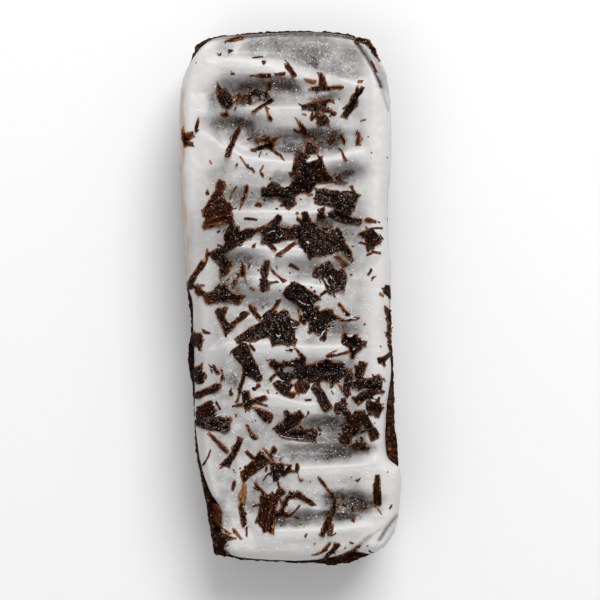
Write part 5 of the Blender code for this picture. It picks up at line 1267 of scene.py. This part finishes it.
def fill_outline(ring, half_width):
    """Triangles inside a ring: their places, their corners, and the edges at the border."""
    inside = lattice(ring, min(SHAVING_CELL, 0.1 + 0.8 * half_width))
    clear_of_border = np.abs(overhang(inside, ring)) > min(0.24, 0.45 * half_width)
    inside = inside[within(inside, ring) & clear_of_border]
    count = len(ring)
    edges = [(step, (step + 1) % count) for step in range(count)]
    spots, _, triangles, *_ = geometry.delaunay_2d_cdt(
        [Vector(spot) for spot in np.vstack([ring, inside])], edges, [], 1, 1e-5)
    places = np.array(spots)
    triangles = np.array(triangles)
    first, second, third = (places[triangles[:, corner]] for corner in range(3))
    turned_over = np.cross(second - first, third - first) < 0
    triangles[turned_over] = triangles[turned_over][:, ::-1]
    ways = {(int(a), int(b)) for face in triangles for a, b in zip(face, np.roll(face, -1))}
    return places, triangles, [way for way in ways if way[::-1] not in ways]


def close_up(top, lower, top_faces, side_faces, border, tone, frost, grain):
    """Points, faces, numbers and grain of a piece, from its upper side and its underside."""
    count = len(top)
    points = np.vstack([top, np.column_stack([top[:, :2], lower])])
    faces = top_faces.tolist() + (top_faces[:, ::-1] + count).tolist() + side_faces
    numbers = {"rim": np.concatenate([border, np.full(count, NO_RIM)]),
               "tone": np.full(2 * count, tone), "frost": np.full(2 * count, frost)}
    return points, faces, numbers, np.vstack([grain, grain])


def lay_piece(index, piece, surface):
    """One piece of chocolate by its outline: bevelled, torn at the rim, with standing sides."""
    tone, frost, turn, corners = piece
    draw = random.Random(SEED * 500 + index)
    half_width = typical_half_width(corners)
    ring = torn_border(corners, min(TORN_DEPTH, 0.3 * half_width), draw)
    flat, triangles, border = fill_outline(ring, half_width)
    at_border = np.zeros(len(flat))
    at_border[[way[0] for way in border]] = 1

    heading = math.radians(turn)
    from_x, from_y = (flat - flat.mean(0)).T
    grain = np.column_stack([from_x * math.cos(heading) + from_y * math.sin(heading),
                             from_y * math.cos(heading) - from_x * math.sin(heading),
                             np.full(len(flat), index * 7.3)])
    thickness = min(0.70, 0.30 + 0.25 * half_width)
    relief = 0.13 * noise_at(grain * (0.25, 1.0, 1.0), 0.5) + 0.10 * noise_at(grain, 0.9, 2)
    bevel = 0.5 + 0.5 * smooth(np.abs(overhang(flat, ring)) / BEVEL_WIDTH)
    rest = settle(flat, surface)
    upper = rest + thickness * bevel + relief * (1 - at_border)
    lower = np.maximum(rest - 0.25, CAKE_HEIGHT + GAP + 0.1)
    upper = np.maximum(upper, lower + 0.2)
    top = np.column_stack([flat, upper])

    surface.raise_to(top)
    filled = lattice(ring, HEIGHT_CELL)
    filled = filled[within(filled, ring)]
    if len(filled):
        nearest = np.linalg.norm(filled[:, None] - flat[None], axis=2).argmin(1)
        surface.raise_to(np.column_stack([filled, upper[nearest]]))
        surface.cover(filled)

    count = len(flat)
    sides = [[b, a, a + count, b + count] for a, b in border]
    return close_up(top, lower, triangles, sides, at_border, tone, frost, grain)


def torn_strip(length, width, taper, draw):
    """A strip's places along and across itself, as a grid, with torn ends and flanks."""
    steps = max(3, round(length / SHAVING_CELL))
    last = 1 - 2 * min(0.2, length * 0.2) / length
    s = np.concatenate([[-1], np.linspace(-last, last, steps), [1]])
    t = np.array([-1, -0.45, 0.45, 1])
    across, along = np.meshgrid(t, s)
    end_teeth = min(0.25 * width + 0.12, 0.22 * length)
    flank_teeth = 0.14 * width + 0.05
    ends = [torn_line(draw, t * width / 2, end_teeth) for _ in range(2)]
    flanks = [torn_line(draw, s * length / 2, flank_teeth) for _ in range(2)]
    share = (across + 1) / 2
    end_shift = ends[0][None, :] * smooth(-along) + ends[1][None, :] * smooth(along)
    flank_shift = flanks[0][:, None] * (1 - share) + flanks[1][:, None] * share
    narrowing = (1 - taper * along * 0.85) * (1 - 0.20 * np.abs(along) ** 7)
    slant = draw.uniform(-0.2, 0.2) * width * across
    bow = draw.uniform(-0.06, 0.06) * length * (1 - along ** 2)
    return along * length / 2 + end_shift + slant, (across * width / 2 + flank_shift) * narrowing + bow


def lay_shaving(index, shaving, surface):
    """A narrow straight shaving: x, y, length, width, turn, taper to a point, and tone."""
    x, y, length, width, turn, taper, tone = shaving
    draw = random.Random(SEED * 1000 + index)
    along, across = torn_strip(length, width, taper, draw)
    rows, columns = along.shape
    count = along.size
    heading = np.array([math.cos(math.radians(turn)), math.sin(math.radians(turn))])
    sideways = np.array([-heading[1], heading[0]])
    footprint = np.array([x, y]) + along[..., None] * heading + across[..., None] * sideways
    flat = footprint.reshape(-1, 2)
    grain = np.column_stack([along.ravel(), across.ravel(), np.full(count, index * 7.3)])

    order = border_order(rows, columns)
    border = np.zeros(count)
    border[order] = 1
    rest = settle(flat, surface)
    relief = 0.06 * noise_at(grain, 0.9, 2)
    thickness = min(0.40, 0.16 + 0.14 * width)
    upper = rest + thickness * (1 - 0.5 * border) + relief * (1 - border)
    lower = np.maximum(rest - 0.2, CAKE_HEIGHT + GAP + 0.1)
    top = np.column_stack([flat, np.maximum(upper, lower + 0.12)])
    surface.raise_to(top)
    surface.cover(flat)

    sides = ring_faces(order + count, order).tolist()
    frost = 0.3 * draw.random()
    return close_up(top, lower, grid_faces(rows, columns), sides, border, tone, frost, grain)


def lay_all(layers, surface):
    """Pieces of chocolate laid one after the other: one set of points, faces, numbers, grain."""
    all_points, all_faces, all_grain = [], [], []
    all_numbers = {"rim": [], "tone": [], "frost": []}
    start = 0
    for index, (lay, what) in enumerate(layers):
        points, faces, numbers, grain = lay(index, what, surface)
        all_points.append(points)
        all_faces += [[corner + start for corner in face] for face in faces]
        all_grain.append(grain)
        for key, values in numbers.items():
            all_numbers[key].append(values)
        start += len(points)
    numbers = {key: np.concatenate(values) for key, values in all_numbers.items()}
    return np.vstack(all_points), all_faces, numbers, np.vstack(all_grain)


def splits_on(piece, draw):
    """Narrow splits of chocolate that lie along a wide piece, both ends inside its outline."""
    tone, _, turn, corners = piece
    ring = np.array(corners, float)
    splits = []
    wanted = round(abs(signed_area(ring)) / 3.5) if typical_half_width(corners) > 0.6 else 0
    for _ in range(wanted * 6):
        if len(splits) == wanted:
            break
        length = draw.uniform(1.2, 3.5)
        heading = turn + draw.gauss(0, 6)
        middle = np.array([draw.uniform(*pair) for pair in zip(ring.min(0), ring.max(0))])
        ahead = np.array([math.cos(math.radians(heading)), math.sin(math.radians(heading))])
        reach = length / 2 * ahead
        if within(np.array([middle - reach, middle + reach]), ring).all():
            splits.append((*middle, length, draw.uniform(0.3, 0.65), heading,
                           draw.uniform(-0.4, 0.4), tone + draw.choice((-0.05, 0.0, 0.05, 0.16))))
    return splits


def lay_shavings(surface):
    """The shaved pieces with their splits, and the slivers, each where it lies."""
    draw = random.Random(SEED + 3)
    layers = []
    for piece in CHOCOLATE_PIECES:
        layers.append((lay_piece, piece))
        layers += [(lay_shaving, split) for split in splits_on(piece, draw)]
    layers += [(lay_shaving, sliver) for sliver in SLIVERS]
    return lay_all(layers, surface)


def lay_splinters(surface):
    """Small broken bits in the heaps, and splinters beside the larger pieces."""
    draw = random.Random(SEED + 2)
    bits = []
    for x, y, half_x, half_y, how_many in HEAPS:
        for _ in range(how_many):
            turn, away = draw.uniform(0, math.tau), math.sqrt(draw.random())
            length = draw.uniform(0.6, 1.6)
            bits.append((x + half_x * away * math.cos(turn), y + half_y * away * math.sin(turn),
                         length, min(length * 0.7, draw.uniform(0.25, 0.8)), draw.uniform(0, 180),
                         draw.uniform(-0.5, 0.5), draw.choice((0.05, 0.05, 0.1, 0.3, 0.45))))
    for _, _, turn, corners in CHOCOLATE_PIECES:
        ring = torn_border(corners, 0.3, draw)
        for _ in range(round(len(ring) / 30 + draw.uniform(-0.5, 0.5))):
            x, y = draw.choice(ring.tolist())
            bits.append((x + draw.gauss(0, 0.2), y + draw.gauss(0, 0.2), draw.uniform(0.5, 1.5),
                         draw.uniform(0.18, 0.36), turn + draw.gauss(0, 30),
                         draw.uniform(-0.6, 0.6), draw.choice((0.1, 0.35, 0.5))))
    return lay_all([(lay_shaving, bit) for bit in bits], surface)


def make_laid(name, laid, material, surface):
    """Make laid pieces into one mesh. A rim shows brown only where it borders on icing."""
    points, faces, numbers, grain = laid
    numbers["rim"] = numbers["rim"] * smooth(surface.bare_around(points) / 0.42)
    make_piece(name, points, faces, material, numbers, {"grain": grain})


def places_by_pieces(count, stray, draw):
    """Random places on or close to the pieces of chocolate, more of them on the larger ones."""
    outlines = [np.array(piece[3], float) for piece in CHOCOLATE_PIECES]
    areas = [abs(signed_area(corners)) for corners in outlines]
    places = []
    for corners in draw.choices(outlines, areas, k=count):
        middle = corners.mean(0)
        corner = corners[draw.randrange(len(corners))]
        spot = middle + (corner - middle) * math.sqrt(draw.random())
        places.append((spot[0] + draw.gauss(0, stray), spot[1] + draw.gauss(0, stray)))
    return places


def small_bodies(places, sizes, detail, roughness, draw):
    """Many small uneven lumps as one set of points and faces."""
    bm = bmesh.new()
    bmesh.ops.create_icosphere(bm, subdivisions=detail, radius=0.5)
    form = np.array([vert.co for vert in bm.verts])
    form_faces = np.array([[vert.index for vert in face.verts] for face in bm.faces])
    bm.free()
    points, faces = [], []
    for index, (place, size) in enumerate(zip(places, sizes)):
        uneven = 1 + roughness * noise_at(form * 1.7 + index * 5.1, 1.0)
        turn = draw.uniform(0, math.tau)
        cosine, sine = math.cos(turn), math.sin(turn)
        spun = np.array([[cosine, -sine, 0], [sine, cosine, 0], [0, 0, 1]])
        flattened = (1.0, draw.uniform(0.6, 0.95), draw.uniform(0.55, 0.8))
        shape = form * uneven[:, None] * flattened
        points.append(shape @ spun.T * size + place)
        faces.append(form_faces + index * len(form))
    return np.vstack(points), np.vstack(faces)


def chocolate_crumbs(material, surface):
    """Crumbs of chocolate where they lie, and finer dust among the shavings."""
    draw = random.Random(SEED)
    places = list(CRUMBS)
    places += [(x, y, draw.uniform(0.16, 0.42)) for x, y in places_by_pieces(150, 0.9, draw)]
    on_bar = [surface.at(np.array([place[:2]]))[0] > CAKE_HEIGHT - 1.5 for place in places]
    places = np.array(places)[on_bar]
    height = surface.at(places[:, :2]) + places[:, 2] * 0.12
    middles = np.column_stack([places[:, :2], height])
    points, faces = small_bodies(middles, places[:, 2], 2, 0.55, draw)
    tones = [draw.uniform(0.5, 0.85) for _ in places]
    numbers = {"rim": np.full(len(points), 0.35), "frost": np.zeros(len(points)),
               "tone": np.repeat(tones, len(points) // len(places))}
    make_piece("chocolate_crumbs", points, faces, material, numbers, {"grain": points})


def icing_threads_and_glints(material, surface):
    """Threads of icing pulled over the shavings, and white streaks that are painted highlights
    on the chocolate.
    """
    points, faces = [], []
    turns = np.arange(THREAD_SIDES) * math.tau / THREAD_SIDES
    for path, radius in ICING_THREADS_AND_GLINTS:
        length = sum(math.dist(a, b) for a, b in zip(path, path[1:]))
        line = curve_through(path, max(5, round(length / 0.25)))
        ahead = np.gradient(line, axis=0)
        ahead /= np.linalg.norm(ahead, axis=1)[:, None]
        height = np.pad(surface.at(line), 2, "edge")
        height = np.convolve(height, np.ones(5) / 5, "valid") + radius * 0.3
        start = len(points)
        for step, (place, heading, z) in enumerate(zip(line, ahead, height)):
            share = step / (len(line) - 1)
            rounded = math.sqrt(max(0.03, 1 - (2 * share - 1) ** 6))
            uneven = 1 + 0.35 * noise.noise(Vector((place[0] * 0.9, place[1] * 0.9, 0)))
            girth = radius * rounded * uneven
            for angle in turns:
                aside = girth * math.cos(angle)
                points.append((place[0] - heading[1] * aside, place[1] + heading[0] * aside,
                               z + girth * 0.8 * math.sin(angle)))
        rings = [start + np.arange(THREAD_SIDES) + THREAD_SIDES * step for step in range(len(line))]
        for lower, upper in zip(rings, rings[1:]):
            faces += list(ring_faces(upper, lower))
        faces += [rings[0], rings[-1][::-1]]
    same_all_over = {"thin": 0.12, "patchy": 0.3, "stain": 0.0}
    numbers = {key: np.full(len(points), value) for key, value in same_all_over.items()}
    make_piece("icing_threads_and_glints", points, faces, material, numbers)


def sugar_grains(material, surface):
    """Grains of sugar strewn over the icing, the shavings and the bare cake. There are fewer
    along the sides and in the far half, save at its end, and they are smaller off the icing."""
    draw = random.Random(SEED + 1)
    places = []
    while len(places) < STREWN_GRAINS:
        x, y = draw.uniform(-22, 24.5), draw.uniform(-58, 60)
        side_share = 0.25 if abs(x) > 18 else 1.0
        far_share = 0.45 if y > 12 and not (y > 50 and x > -8) else 1.0
        if draw.random() < side_share * far_share:
            places.append((x, y))
    places = np.array(places + places_by_pieces(GRAINS_ON_CHOCOLATE, 0.3, draw))
    height = surface.at(places)
    on_bar = height > CAKE_HEIGHT - 1.0
    places, height = places[on_bar], height[on_bar]
    off_icing = surface.covered[surface.cell(places)]
    sizes = np.array([0.14 + 0.30 * draw.random() ** 2 for _ in places])
    sizes = sizes * (1 - 0.5 * off_icing)
    points, faces = small_bodies(np.column_stack([places, height + 0.04]), sizes, 1, 0.35, draw)
    make_piece("sugar_grains", points, faces, material, shade_smooth=False)


def area_light(name, place, size, watts):
    """A round soft light that faces the bar."""
    data = bpy.data.lights.new(name, "AREA")
    data.shape = "DISK"
    data.size = size
    data.energy = watts
    light = bpy.data.objects.new(name, data)
    light.location = place
    towards_bar = Vector((0, 0, 0.02)) - Vector(place)
    light.rotation_euler = towards_bar.to_track_quat("-Z", "Y").to_euler()
    bpy.context.scene.collection.objects.link(light)


def stage_and_light():
    """Plain pale floor, a broad soft light from the far end and a weaker one opposite."""
    bpy.ops.mesh.primitive_plane_add(size=3.0, location=(0, 0, 0))
    floor = bpy.context.object
    floor.name = "floor"
    floor.data.materials.append(matt_white_board())
    world = bpy.data.worlds.new("studio")
    bpy.context.scene.world = world
    world.use_nodes = True
    background = world.node_tree.nodes["Background"]
    background.inputs["Color"].default_value = (1, 1, 1, 1)
    background.inputs["Strength"].default_value = 0.36
    area_light("key", (0.16, 0.50, 0.66), 0.50, 5.6)
    area_light("fill", (-0.30, -0.30, 0.85), 0.6, 1.4)


def camera_above():
    """Straight above the bar, a little to one side of it, with a long lens."""
    camera_x, camera_y = 2.415, -0.575
    millimetres_across = 138.0
    lens = 110.0
    sensor = 36.0
    data = bpy.data.cameras.new("camera")
    data.lens = lens
    data.sensor_width = sensor
    data.clip_start = 0.01
    camera = bpy.data.objects.new("camera", data)
    height = CAKE_HEIGHT + 4.0 + millimetres_across * lens / sensor
    camera.location = (camera_x * MM, camera_y * MM, height * MM)
    bpy.context.scene.collection.objects.link(camera)
    bpy.context.scene.camera = camera


def main():
    """Make every piece, put cake and icing in place of their solids, and set the studio."""
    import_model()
    bpy.context.scene.view_settings.view_transform = "Standard"
    icing_finish, chocolate = beaten_icing(), shaved_chocolate()
    icing = spread_icing(icing_finish)
    cake = crumbly_cake(baked_chocolate_cake())
    surface = Surface([icing, cake])
    shavings = lay_shavings(surface)
    splinters = lay_splinters(surface)
    make_laid("chocolate_shavings", shavings, chocolate, surface)
    make_laid("chocolate_splinters", splinters, chocolate, surface)
    chocolate_crumbs(chocolate, surface)
    icing_threads_and_glints(icing_finish, surface)
    sugar_grains(sugar_crystal(), surface)
    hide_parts("brownie")
    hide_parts("icing")
    stage_and_light()
    camera_above()


main()
